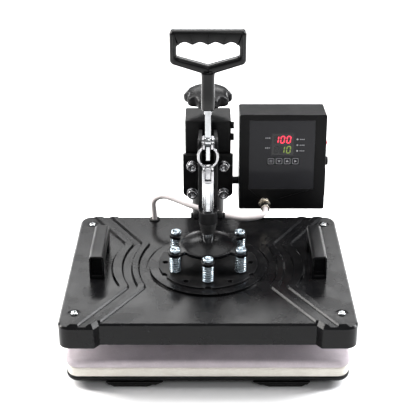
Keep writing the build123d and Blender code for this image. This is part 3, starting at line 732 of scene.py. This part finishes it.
def make_panel_film():
    return paint(
        "panel_film",
        dark=(0.020, 0.020, 0.023),
        light=(0.026, 0.026, 0.030),
        rough=0.34,
        grain_size=0.0006,
        relief=0.00003,
        wear=0.0,
        dust=0.06,
        coat=0.15,
    )


def make_window():
    return paint(
        "window",
        dark=(0.008, 0.008, 0.009),
        light=(0.014, 0.014, 0.016),
        rough=0.14,
        grain_size=0.0030,
        relief=0.00001,
        wear=0.0,
        dust=0.05,
        coat=0.5,
    )


def make_key_grey():
    return paint(
        "key_grey",
        dark=(0.028, 0.028, 0.031),
        light=(0.04, 0.04, 0.044),
        rough=0.4,
        grain_size=0.0006,
        relief=0.00003,
        wear=0.0,
        dust=0.05,
    )


def make_print_grey():
    return paint(
        "print_grey",
        dark=(0.40, 0.40, 0.42),
        light=(0.52, 0.52, 0.54),
        rough=0.5,
        grain_size=0.0006,
        relief=0.00002,
        wear=0.0,
        dust=0.0,
    )


def make_rocker_red():
    material, tree, shader = new_material("rocker_red")
    grain = effect(tree, GRAIN, Size=0.0012, Drift=0.01)
    shade = blended(tree, grain["Tone"], (0.5, 0.008, 0.02), (0.7, 0.02, 0.04))
    plug(tree, shader.inputs["Base Color"], shade)
    plug(tree, shader.inputs["Roughness"], between(tree, grain["Tone"], 0.3, 0.7, 0.16, 0.26))
    shader.inputs["Subsurface Weight"].default_value = 0.2
    shader.inputs["Subsurface Scale"].default_value = 0.003
    bump(tree, shader, grain["Height"], 0.00003)
    return material


def lit(name, dim, bright, strength):
    """A lamp behind a diffuser, a little uneven across its face."""
    material, tree, shader = new_material(name)
    grain = effect(tree, GRAIN, Size=0.0009, Drift=0.004)
    glow = blended(tree, grain["Tone"], dim, bright)
    plug(tree, shader.inputs["Base Color"], glow)
    plug(tree, shader.inputs["Emission Color"], glow)
    shader.inputs["Emission Strength"].default_value = strength
    shader.inputs["Roughness"].default_value = 0.4
    return material


def make_red_digits():
    return lit(
        "red_digits",
        dim=(0.85, 0.015, 0.05),
        bright=(1.0, 0.05, 0.10),
        strength=1.6,
    )


def make_green_digits():
    return lit(
        "green_digits",
        dim=(0.10, 0.16, 0.02),
        bright=(0.20, 0.26, 0.04),
        strength=0.9,
    )


def make_unlit_digits():
    return paint(
        "unlit_digits",
        dark=(0.028, 0.030, 0.030),
        light=(0.045, 0.047, 0.047),
        rough=0.3,
        grain_size=0.0008,
        relief=0.00001,
        wear=0.0,
        dust=0.0,
    )


POWDER = make_black_powder_coat()
COVER = make_cover_black()
GLOSS = make_handle_black()
RUBBER = make_black_rubber()
PLASTIC = make_black_plastic()
CHROME = make_chrome()
ZINC = make_zinc()
STEEL = make_steel()
ALUMINIUM = make_aluminium()
BRASS = make_brass()
PAD = make_pad_grey()
BACKING = make_backing_cream()
SILICONE = make_white_silicone()
WOOL = make_ceramic_wool()
BOARD = make_board_green()
FILM = make_panel_film()
WINDOW = make_window()
KEY = make_key_grey()
PRINT = make_print_grey()
RED = make_rocker_red()
RED_LIT = make_red_digits()
GREEN_LIT = make_green_digits()
UNLIT = make_unlit_digits()

make_camera()


# ---------------------------------------------------------------- heater cable
CABLE_DIAMETER = 0.008
CABLE_ROUTE = [
    (0.0860, 0.0811, 0.1369),
    (0.0860, 0.0662, 0.1382),
    (0.0760, 0.0560, 0.1360),
    (0.0520, 0.0540, 0.1340),
    (0.0280, 0.0590, 0.1365),
    (0.0020, 0.0670, 0.1410),
    (-0.0240, 0.0770, 0.1430),
    (-0.0500, 0.0940, 0.1465),
    (-0.0700, 0.1050, 0.1480),
    (-0.0845, 0.1090, 0.1370),
    (-0.0820, 0.1090, 0.1190),
    (-0.0820, 0.1090, 0.1020),
]


def line_of(route):
    """Points along the smooth line that the route's points pull."""
    data = bpy.data.curves.new("cable_line", "CURVE")
    data.dimensions = "3D"
    spline = data.splines.new("NURBS")
    spline.points.add(len(route) - 1)
    for point, place in zip(spline.points, route):
        point.co = (*place, 1.0)
    spline.order_u = 3
    spline.use_endpoint_u = True
    spline.resolution_u = 12
    holder = bpy.data.objects.new("cable_line", data)
    mesh = bpy.data.meshes.new_from_object(holder)
    points = [v.co.copy() for v in mesh.vertices]
    bpy.data.objects.remove(holder)
    bpy.data.curves.remove(data)
    bpy.data.meshes.remove(mesh)
    return points


def heater_cable():
    points = line_of(CABLE_ROUTE)
    verts, faces = tube(points, CABLE_DIAMETER / 2, 20)
    cable = new_piece("heater_cord", verts, faces, None, SILICONE, ["heater_cable"])
    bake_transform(cable)


heater_cable()


# ---------------------------------------------------------------- lower stack
def silicone_pad():
    low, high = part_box("silicone_pad")
    rise = high.z - low.z
    profile = [
        (0.030, low.z),
        (0.0030, low.z),
        (0.0012, low.z + 0.03 * rise),
        (0.0005, low.z + 0.12 * rise),
        (0.0001, low.z + 0.3 * rise),
        (0.0, low.z + 0.5 * rise),
        (0.0003, low.z + 0.68 * rise),
        (0.0011, low.z + 0.84 * rise),
        (0.0024, low.z + 0.94 * rise),
        (0.0042, low.z + 0.985 * rise),
        (0.0070, high.z),
        (0.030, high.z),
        (0.080, high.z),
    ]
    verts, faces = soft_slab(low, high, 0.018, profile)
    pad = new_piece("silicone_pad_foam", verts, faces, "base", PAD, ["silicone_pad"])


def pad_backing():
    low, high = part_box("pad_backing")
    rise = high.z - low.z
    profile = [
        (0.030, low.z),
        (0.0016, low.z),
        (0.0004, low.z + 0.06 * rise),
        (0.0001, low.z + 0.2 * rise),
        (0.0006, low.z + 0.48 * rise),
        (0.0001, low.z + 0.72 * rise),
        (0.0002, low.z + 0.9 * rise),
        (0.0012, high.z - 0.0003),
        (0.0024, high.z),
        (0.030, high.z),
    ]
    verts, faces = soft_slab(low, high, 0.017, profile)
    new_piece("pad_backing_board", verts, faces, "base", BACKING, ["pad_backing"])


def lower_tray():
    low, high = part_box("lower_tray")
    profile = [
        (0.040, low.z),
        (0.0062, low.z),
        (0.0040, low.z + 0.0006),
        (0.0018, low.z + 0.0020),
        (0.0005, low.z + 0.0040),
        (0.0, low.z + 0.0060),
        (0.0, high.z - 0.0012),
        (0.0003, high.z - 0.0004),
        (0.0010, high.z),
        (0.040, high.z),
    ]
    verts, faces = soft_slab(low, high, 0.018, profile)
    new_piece("lower_tray_pan", verts, faces, "base", POWDER, ["lower_tray"])


silicone_pad()
pad_backing()
lower_tray()


# ---------------------------------------------------------------- knob, screws and springs
def pressure_knob():
    """Domed hand knob: ten scallops in the skirt that fade out over the crown."""
    low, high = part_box("pressure_knob")
    mid = Vector(((low.x + high.x) / 2, (low.y + high.y) / 2, low.z))
    rise = high.z - low.z
    radius = (high.x - low.x) / 2 - 0.0001

    def lobes(depth):
        def factor(angle):
            return 1.0 - depth * (0.5 - 0.5 * math.cos(10 * angle)) ** 1.3

        return factor

    profile = [(0.0062, 0.0), (0.0128, 0.0), (0.0138, 0.0008), (0.0140, 0.0040)]
    skirt = [
        (0.62, 0.150, 0.0),
        (0.80, 0.152, 0.04),
        (0.90, 0.165, 0.12),
        (0.955, 0.20, 0.15),
        (0.985, 0.26, 0.17),
        (1.0, 0.34, 0.17),
        (1.0, 0.50, 0.165),
        (0.99, 0.57, 0.15),
        (0.965, 0.62, 0.12),
        (0.93, 0.67, 0.08),
        (0.87, 0.735, 0.04),
        (0.78, 0.81, 0.01),
        (0.66, 0.88, 0.0),
        (0.52, 0.94, 0.0),
        (0.36, 0.982, 0.0),
        (0.30, 0.990, 0.0),
        (0.285, 0.975, 0.0),
        (0.27, 0.975, 0.0),
        (0.255, 0.994, 0.0),
        (0.14, 1.0, 0.0),
        (0.02, 1.0, 0.0),
    ]
    profile += [(radius * r, rise * z, lobes(depth)) for r, z, depth in skirt]
    verts, faces = moved(lathe(profile, 160), Matrix.Translation(mid))
    new_piece("knob_grip", verts, faces, "knob", PLASTIC, ["pressure_knob"])


def thread(radius, low, high, pitch, depth, count=36):
    """A screw thread about Z as a ring at each height whose radius follows the helix."""
    rows = max(2, round((high - low) / (pitch / 8)))
    verts = []
    for j in range(rows + 1):
        z = low + (high - low) * j / rows
        for i in range(count):
            phase = (z / pitch - i / count) % 1.0
            r = radius - depth * abs(2 * phase - 1)
            angle = 2 * math.pi * i / count
            verts.append((r * math.cos(angle), r * math.sin(angle), z))
    return verts, rings_to_faces(rows + 1, count)


def knob_screw():
    low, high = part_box("knob_screw")
    mid = Matrix.Translation(((low.x + high.x) / 2, (low.y + high.y) / 2, 0.0))
    verts, faces = moved(thread((high.x - low.x) / 2, low.z, high.z, 1.75 * MM, 0.9 * MM), mid)
    new_piece("knob_screw_thread", verts, faces, "knob", STEEL, ["knob_screw"])


def bolt_places():
    """The six spring bolts, the first straight in front of the ram."""
    low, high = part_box("spring_bolts")
    head_r = 7.5 * MM
    circle_r = (high.y - low.y) / 2 - head_r
    for i in range(6):
        angle = math.radians(-90 + 60 * i)
        yield Vector((RAM_X + circle_r * math.cos(angle), RAM_Y + circle_r * math.sin(angle), 0.0))


def spring_bolts():
    """Shouldered bolts: plated shanks, softened heads with a dimple and a hexagon socket."""
    low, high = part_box("spring_bolts")
    top, under = high.z, high.z - 4.95 * MM
    hexagon = polygon(6)
    profile = [
        (0.0, low.z),
        (2.6 * MM, low.z),
        (3.0 * MM, low.z + 0.5 * MM),
        (3.0 * MM, under),
        (6.6 * MM, under),
        (7.1 * MM, under + 0.2 * MM),
        (7.4 * MM, under + 0.9 * MM),
        (7.5 * MM, under + 2.0 * MM),
        (7.4 * MM, top - 1.4 * MM),
        (7.0 * MM, top - 0.5 * MM),
        (6.2 * MM, top - 0.05 * MM),
        (5.4 * MM, top),
        (4.6 * MM, top - 0.15 * MM),
        (3.5 * MM, top - 0.9 * MM),
        (3.1 * MM, top - 1.0 * MM, hexagon),
        (2.9 * MM, top - 3.4 * MM, hexagon),
        (0.4 * MM, top - 3.6 * MM),
    ]
    parts = [moved(lathe(profile, 48), Matrix.Translation(place)) for place in bolt_places()]
    verts, faces = join_parts(parts)
    new_piece("spring_bolt_set", verts, faces, "platen", ZINC, ["spring_bolts"])


def coil(radius, wire, low, high, turns, count=26):
    """Centre line of a compression spring whose end turns lie closed and flat."""
    steps = int(turns * count)
    closed = 1.1
    points = []
    for i in range(steps + 1):
        turn = turns * i / steps
        share = min(max((turn - closed) / (turns - 2 * closed), 0.0), 1.0)
        ends = min(turn, closed) + max(turn - (turns - closed), 0.0)
        z = low + wire * 0.5 + ends * wire * 0.92
        z += share * (high - low - wire - 2 * closed * wire * 0.92)
        angle = 2 * math.pi * turn
        points.append((radius * math.cos(angle), radius * math.sin(angle), z))
    return points


def platen_springs():
    low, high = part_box("platen_springs")
    wire = 2.3 * MM
    radius = 8.0 * MM - wire / 2
    line = coil(radius, wire, low.z, high.z, 7.6)
    parts = [moved(tube(line, wire / 2, 10), Matrix.Translation(place)) for place in bolt_places()]
    verts, faces = join_parts(parts)
    springs = new_piece("spring_coils", verts, faces, "ram", ZINC, ["platen_springs"])
    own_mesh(springs)


def corner_screws():
    """Domed screws with a hexagon socket."""
    low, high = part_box("corner_screws")
    seat = high.z - 3.4 * MM

    hexagon = polygon(6)
    profile = [
        (0.0, low.z),
        (2.3 * MM, low.z),
        (2.5 * MM, low.z + 0.4 * MM),
        (2.5 * MM, seat),
        (5.2 * MM, seat),
        (5.5 * MM, seat + 0.4 * MM),
        (5.4 * MM, seat + 1.2 * MM),
        (4.9 * MM, seat + 2.1 * MM),
        (4.1 * MM, seat + 2.8 * MM),
        (3.1 * MM, seat + 3.25 * MM),
        (2.7 * MM, seat + 3.38 * MM),
        (2.3 * MM, seat + 3.1 * MM, hexagon),
        (2.2 * MM, seat + 1.2 * MM, hexagon),
        (0.2 * MM, seat + 1.1 * MM),
    ]
    places = []
    for x in (low.x + 5.5 * MM, high.x - 5.5 * MM):
        for y in (low.y + 5.5 * MM, high.y - 5.5 * MM):
            places.append(Vector((x, y, 0.0)))
    parts = [moved(lathe(profile, 48), Matrix.Translation(place)) for place in places]
    verts, faces = join_parts(parts)
    new_piece("corner_screw_set", verts, faces, "platen", CHROME, ["corner_screws"])


def front_plate_screws():
    """Socket-head screws on washers."""
    low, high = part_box("front_plate_screws")
    head_r = 8.8 * MM
    hexagon = polygon(6)
    back = high.y
    front = low.y

    def knurl(angle):
        return 1.0 - 0.018 * (0.5 + 0.5 * math.cos(24 * angle))

    face = front + 8.0 * MM
    profile = [
        (0.0, back),
        (4.9 * MM, back),
        (5.0 * MM, back - 0.3 * MM),
        (5.0 * MM, face),
        (8.6 * MM, face),
        (8.8 * MM, face - 0.3 * MM),
        (8.8 * MM, face - 1.3 * MM),
        (8.5 * MM, face - 1.6 * MM),
        (7.4 * MM, face - 1.6 * MM),
        (7.5 * MM, face - 1.9 * MM, knurl),
        (7.5 * MM, front + 1.1 * MM, knurl),
        (7.1 * MM, front + 0.3 * MM),
        (6.4 * MM, front),
        (4.9 * MM, front),
        (4.5 * MM, front + 0.3 * MM, hexagon),
        (4.4 * MM, front + 4.6 * MM, hexagon),
        (0.4 * MM, front + 4.9 * MM),
    ]
    # Turned about Z with the heights as depths, so Z goes to Y.
    lay = Matrix(((1, 0, 0, 0), (0, 0, 1, 0), (0, 1, 0, 0), (0, 0, 0, 1)))
    parts = []
    for x in (low.x + head_r, high.x - head_r):
        for z in (low.z + head_r, high.z - head_r):
            place = Matrix.Translation((x, 0.0, z)) @ lay
            parts.append(moved(lathe(profile, 96), place))
    verts, faces = join_parts(parts)
    new_piece("front_plate_screw_set", verts, faces, "head", STEEL, ["front_plate_screws"])


def guide_boot():
    """Tapered rubber wiper with three soft ribs."""
    low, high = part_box("guide_boot")
    radius = (high.x - low.x) / 2
    bottom = radius * 0.72
    profile = [(8.2 * MM, low.z), (bottom - 0.4 * MM, low.z), (bottom, low.z + 0.5 * MM)]
    steps = 24
    for i in range(1, steps):
        share = i / steps
        ripple = 0.35 * MM * math.cos(3 * 2 * math.pi * share)
        r = min(bottom + (radius - bottom) * share**0.8 - 0.35 * MM + ripple, radius)
        profile.append((r, low.z + 0.5 * MM + (high.z - low.z - 1.0 * MM) * share))
    profile += [(radius, high.z - 0.4 * MM), (radius - 0.5 * MM, high.z), (8.2 * MM, high.z)]
    mid = Matrix.Translation((RAM_X, RAM_Y, 0.0))
    verts, faces = moved(lathe(profile, 64), mid)
    new_piece("guide_boot_rubber", verts, faces, "head", RUBBER, ["guide_boot"])


def rounded_corners(corners, radii, arc_steps, edge_steps):
    """A closed outline of (x, z) points: an arc at each corner and points along each edge."""
    count = len(corners)
    arcs = []
    for i, (corner, radius) in enumerate(zip(corners, radii)):
        corner = Vector(corner)
        back = (Vector(corners[i - 1]) - corner).normalized()
        ahead = (Vector(corners[(i + 1) % count]) - corner).normalized()
        turn = back.angle(ahead)
        reach = radius / math.tan(turn / 2)
        middle = corner + (back + ahead).normalized() * radius / math.sin(turn / 2)
        first, last = corner + back * reach - middle, corner + ahead * reach - middle
        sweep = first.angle_signed(last)
        arc = []
        for k in range(arc_steps + 1):
            angle = -sweep * k / arc_steps
            c, t = math.cos(angle), math.sin(angle)
            arc.append(middle + Vector((first.x * c - first.y * t, first.x * t + first.y * c)))
        arcs.append(arc)
    outline = []
    for i, arc in enumerate(arcs):
        outline += arc
        start, end = arc[-1], arcs[(i + 1) % count][0]
        outline += [start.lerp(end, k / edge_steps[i]) for k in range(1, edge_steps[i])]
    return outline


def pushed(outline, distance):
    """The outline moved sideways: to its left where the distance is positive."""
    count = len(outline)
    points = []
    for i, point in enumerate(outline):
        ahead = (outline[(i + 1) % count] - outline[i - 1]).normalized()
        points.append(point + Vector((-ahead.y, ahead.x)) * distance)
    return points


def lever_handle():
    """Cast D-handle with full, rounded bars and finger grooves, on an oval stem."""
    low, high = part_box("lever_handle")
    mid_y, half_y = (low.y + high.y) / 2, (high.y - low.y) / 2
    edge_steps = [16, 12, 64, 12, 16]
    arc_steps = 8

    def d_shape(half_x, top, shoulder, point):
        """Five corners from the point of the V, up one side and down the other."""
        return [(0, point), (half_x, shoulder), (half_x, top), (-half_x, top), (-half_x, shoulder)]

    outside = d_shape(high.x, high.z, high.z - 45 * MM, high.z - 61 * MM)
    radii = [3 * MM, 7 * MM, 6 * MM, 6 * MM, 7 * MM]
    outer = rounded_corners(outside, radii, arc_steps, edge_steps)
    grip = high.z - 20.0 * MM
    opening = d_shape(high.x - 9.0 * MM, grip, high.z - 36 * MM, high.z - 47.5 * MM)
    radii = [2 * MM, 4 * MM, 3.5 * MM, 3.5 * MM, 4 * MM]
    inner = rounded_corners(opening, radii, arc_steps, edge_steps)
    groove, pitch = 3.6 * MM, 20.0 * MM
    for point in inner:
        if point.y > grip - 0.01 * MM and abs(point.x) < 2 * pitch - 3.5 * MM:
            point.y += groove * (0.5 - 0.5 * math.cos(2 * math.pi * point.x / pitch)) ** 0.75
    soft = 4.6 * MM
    section = []
    for k in range(7):
        angle = math.pi / 2 * k / 6
        section.append((soft * (1 - math.sin(angle)), half_y - soft + soft * math.cos(angle)))
    rings = [(outer, d, -y) for d, y in section] + [(outer, d, y) for d, y in reversed(section)]
    rings += [(inner, -d, y) for d, y in section] + [(inner, -d, -y) for d, y in reversed(section)]
    verts = []
    for outline, inset, depth in rings:
        verts += [(x, mid_y + depth, z) for x, z in pushed(outline, inset)]
    loop = (verts, rings_to_faces(len(rings), len(outer), closed=True))
    stem = []
    levels = [
        (2.0, 0.0),
        (0.7, 0.5),
        (0.0, 2.0),
        (0.0, 18.0),
        (0.3, 30.0),
        (0.3, 42.0),
        (0.0, 50.0),
        (-1.5, 56.0),
    ]
    corner_steps = 6
    for inset, height in levels:
        half = min(9.0 - inset, 10.5) * MM
        for x, y in rounded_outline(half, half_y - max(inset, 0.0) * MM, 5.6 * MM, corner_steps):
            stem.append((x, mid_y + y, low.z + height * MM))
    post = (stem, rings_to_faces(len(levels), 4 * (corner_steps + 1)))
    verts, faces = join_parts([loop, post])
    new_piece("lever_handle_casting", verts, faces, "lever", GLOSS, ["lever_handle"])


lever_handle()
pressure_knob()
knob_screw()
spring_bolts()
platen_springs()
corner_screws()
front_plate_screws()
guide_boot()


# ---------------------------------------------------------------- control panel
PANEL_TILT = math.radians(5.0)
FILM_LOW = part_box("panel_film")[0]
FILM_THICK = 0.6 * MM


def panel_frame():
    """Frame of the panel's front face: X right, Y into it, Z up it, from its lower left corner."""
    corner = Vector((FILM_LOW.x, FILM_LOW.y, FILM_LOW.z + FILM_THICK * math.sin(PANEL_TILT)))
    return Matrix.Translation(corner) @ Matrix.Rotation(-PANEL_TILT, 4, "X")


PANEL = panel_frame()
TO_PANEL = PANEL.inverted()


def panel_box(node):
    """A node's middle and half sizes in the panel's own frame."""
    corners = [TO_PANEL @ v.co for v in NODES[node].data.vertices]
    low = Vector([min(c[i] for c in corners) for i in range(3)])
    high = Vector([max(c[i] for c in corners) for i in range(3)])
    return (low + high) / 2, (high - low) / 2


def on_panel(part, x, z, proud=0.12 * MM):
    return moved(part, PANEL @ Matrix.Translation((x, -proud, z)))


def segment(x0, z0, x1, z1, width):
    """One bar of a figure, with pointed ends."""
    ahead = Vector((x1 - x0, z1 - z0))
    ahead.normalize()
    side = Vector((-ahead.y, ahead.x)) * width / 2
    a = Vector((x0, z0)) + ahead * width * 0.12
    b = Vector((x1, z1)) - ahead * width * 0.12
    half = ahead * width / 2
    points = [a, a + half + side, b - half + side, b, b - half - side, a + half - side]
    return [(p.x, p.y) for p in points]


SEGMENTS = {
    "top": ((0, 1), (1, 1)),
    "middle": ((0, 0.5), (1, 0.5)),
    "bottom": ((0, 0), (1, 0)),
    "top_left": ((0, 0.5), (0, 1)),
    "top_right": ((1, 0.5), (1, 1)),
    "low_left": ((0, 0), (0, 0.5)),
    "low_right": ((1, 0), (1, 0.5)),
}
FIGURES = {
    "0": ("top", "bottom", "top_left", "top_right", "low_left", "low_right"),
    "1": ("top_right", "low_right"),
    " ": (),
}


def figure_bars(figure, x, z, wide, tall, lit_bars):
    """The lit or the unlit bars of one figure, leaning a little to the right."""
    parts = []
    for name, (a, b) in SEGMENTS.items():
        if (name in FIGURES[figure]) != lit_bars:
            continue
        ends = []
        for share_x, share_z in (a, b):
            lean = 0.12 * tall * share_z
            ends += [x + share_x * wide + lean, z + share_z * tall]
        outline = segment(*ends, 0.16 * tall)
        parts.append(on_panel(plate_from(outline, 0.1 * MM), 0.0, 0.0))
    return parts


def display_digits():
    """Two rows of three figures: a bright upper row and a dim lower row."""
    mid, half = panel_box("display_window")
    left = mid.x - half.x
    rows = {
        "red": ("100", mid.z + 2.2 * MM, 10.2 * MM, RED_LIT, "display_digits_red"),
        "green": (" 10", mid.z - 13.6 * MM, 10.2 * MM, GREEN_LIT, "display_digits_green"),
    }
    unlit = []
    for text, base, tall, material, name in rows.values():
        parts = []
        for i, figure in enumerate(text):
            x = left + 4.2 * MM + i * 9.1 * MM
            parts += figure_bars(figure, x, base, 5.2 * MM, tall, True)
            unlit += figure_bars(figure, x, base, 5.2 * MM, tall, False)
        verts, faces = join_parts(parts)
        new_piece(name, verts, faces, "head", material, smooth=False)
    verts, faces = join_parts(unlit)
    new_piece("display_digits_off", verts, faces, "head", UNLIT, smooth=False)


def ring_plate(half, radius, bar, thick):
    """A flat frame with rounded corners, standing in the panel's plane."""
    outer = rounded_outline(half, half, radius, 6)
    inner = rounded_outline(half - bar, half - bar, radius - bar, 6)
    count = len(outer)
    verts = [(x, 0.0, z) for x, z in outer] + [(x, 0.0, z) for x, z in inner]
    verts += [(x, thick, z) for x, z in inner] + [(x, thick, z) for x, z in outer]
    return verts, rings_to_faces(4, count, closed=True)


def bar_plate(x, z, wide, tall):
    """Corners of an upright rectangle from its lower left one."""
    return [(x, z), (x + wide, z), (x + wide, z + tall), (x, z + tall)]


def key_symbol(name):
    """A plain sign for one key."""
    if name == "menu_key":
        return [bar_plate(-2.2, z - 0.28, 4.4, 0.56) for z in (-1.5, 0, 1.5)]
    if name == "up_key":
        return [[(-2.3, -1.3), (2.3, -1.3), (0.0, 2.1)]]
    if name == "down_key":
        return [[(-2.3, 1.3), (0.0, -2.1), (2.3, 1.3)]]
    return [[(-1.5, -2.1), (2.2, 0.0), (-1.5, 2.1)]]


def panel_keys():
    """The printed frame and sign on each key, which go in with it."""
    for name in ("menu_key", "down_key", "up_key", "start_key"):
        mid, half = panel_box(name)
        proud = -(mid.y - half.y) + 0.02 * MM
        rim = ring_plate(half.x - 0.5 * MM, 1.9 * MM, 0.65 * MM, 0.1 * MM)
        parts = [on_panel(rim, mid.x, mid.z, proud)]
        for outline in key_symbol(name):
            sign = plate_from([(x * MM, z * MM) for x, z in outline], 0.1 * MM)
            parts.append(on_panel(sign, mid.x, mid.z, proud))
        verts, faces = join_parts(parts)
        new_piece(name + "_print", verts, faces, BODY_OF[name], PRINT, smooth=False)


def panel_print():
    """Small marks beside the display, and the three lamps' marks."""
    mid, half = panel_box("display_window")
    parts = []
    left, right = mid.x - half.x, mid.x + half.x
    for z in (mid.z + 9.0 * MM, mid.z - 6.5 * MM):
        for i in range(3):
            outline = bar_plate(left - (9.4 - 2.7 * i) * MM, z, 1.9 * MM, 1.5 * MM)
            parts.append(on_panel(plate_from(outline, 0.08 * MM), 0.0, 0.0, 0.06 * MM))
    for z in (mid.z + 7.0 * MM, mid.z - 2.0 * MM, mid.z - 11.0 * MM):
        for i in range(3):
            outline = bar_plate(right + (9.2 + 2.6 * i) * MM, z, 1.8 * MM, 1.4 * MM)
            parts.append(on_panel(plate_from(outline, 0.08 * MM), 0.0, 0.0, 0.06 * MM))
    verts, faces = join_parts(parts)
    new_piece("panel_marks", verts, faces, "head", PRINT, smooth=False)


def panel_lamps():
    """Three small lamps to the right of the display."""
    mid, half = panel_box("display_window")
    dome = [
        (1.35 * MM, 0.05 * MM),
        (1.35 * MM, -0.05 * MM),
        (1.1 * MM, -0.2 * MM),
        (0.6 * MM, -0.28 * MM),
        (0.05 * MM, -0.3 * MM),
    ]
    face_on = Matrix(((1, 0, 0, 0), (0, 0, 1, 0), (0, 1, 0, 0), (0, 0, 0, 1)))
    parts = []
    for z in (mid.z + 7.7 * MM, mid.z - 1.3 * MM, mid.z - 10.3 * MM):
        part = moved(lathe(dome, 24), face_on)
        parts.append(moved(part, PANEL @ Matrix.Translation((mid.x + half.x + 5.6 * MM, 0.0, z))))
    verts, faces = join_parts(parts)
    new_piece("panel_lamps", verts, faces, "head", PRINT)


display_digits()
panel_keys()
panel_print()
panel_lamps()


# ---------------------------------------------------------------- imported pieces
def finish_packed_pieces():
    """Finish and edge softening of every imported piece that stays."""
    plain = [
        ("base_frame", POWDER, 0.8),
        ("rubber_feet", RUBBER, 0.6),
        ("post_column", POWDER, 0.8),
        ("column_bolts", ZINC, 0.5),
        ("post_bush", STEEL, 0.4),
        ("head_block", POWDER, 0.9),
        ("head_side_bolts", POWDER, 0.6),
        ("front_plate", POWDER, 0.9),
        ("arm_cheek_left", POWDER, 0.6),
        ("arm_cheek_right", POWDER, 0.6),
        ("arm_web", POWDER, 0.5),
        ("lever_pivot_pin", STEEL, 0.4),
        ("ram_guide", POWDER, 0.6),
        ("guide_clamp_bolt", POWDER, 0.7),
        ("lever_bar", CHROME, 0.7),
        ("yoke_ring", STEEL, 0.9),
        ("yoke_pin", STEEL, 0.3),
        ("ram_shaft", CHROME, 0.5),
        ("ram_clevis", STEEL, 0.6),
        ("clevis_pin", STEEL, 0.3),
        ("spider", COVER, 0.7),
        ("platen_cover", COVER, 0.0),
        ("cover_grommet", RUBBER, 0.5),
        ("centre_plate", POWDER, 0.5),
        ("insulation", WOOL, 0.0),
        ("heater_element", STEEL, 0.0),
        ("thermocouple", STEEL, 0.4),
        ("heating_plate", ALUMINIUM, 0.5),
        ("side_handle_screws", STEEL, 0.3),
        ("box_spacer", POWDER, 0.3),
        ("control_box_shell", POWDER, 0.5),
        ("control_box_back", POWDER, 0.4),
        ("panel_film", FILM, 0.0),
        ("display_window", WINDOW, 0.0),
        ("circuit_board", BOARD, 0.2),
        ("heater_relay", PLASTIC, 0.5),
        ("switch_bezel", PLASTIC, 0.4),
        ("rocker_switch", RED, 0.6),
        ("power_inlet", PLASTIC, 0.4),
        ("fuse_holder", PLASTIC, 0.6),
        ("cable_gland", BRASS, 0.5),
    ]
    for name, material, width in plain:
        finish_node(name, material, width * MM)
    for name in ("menu_key", "down_key", "up_key", "start_key"):
        finish_node(name, KEY, 0.4 * MM)
    for name in ("side_handle_left", "side_handle_right"):
        finish_node(name, PLASTIC, 0.9 * MM, 3)


finish_packed_pieces()

make_floor()
make_studio()
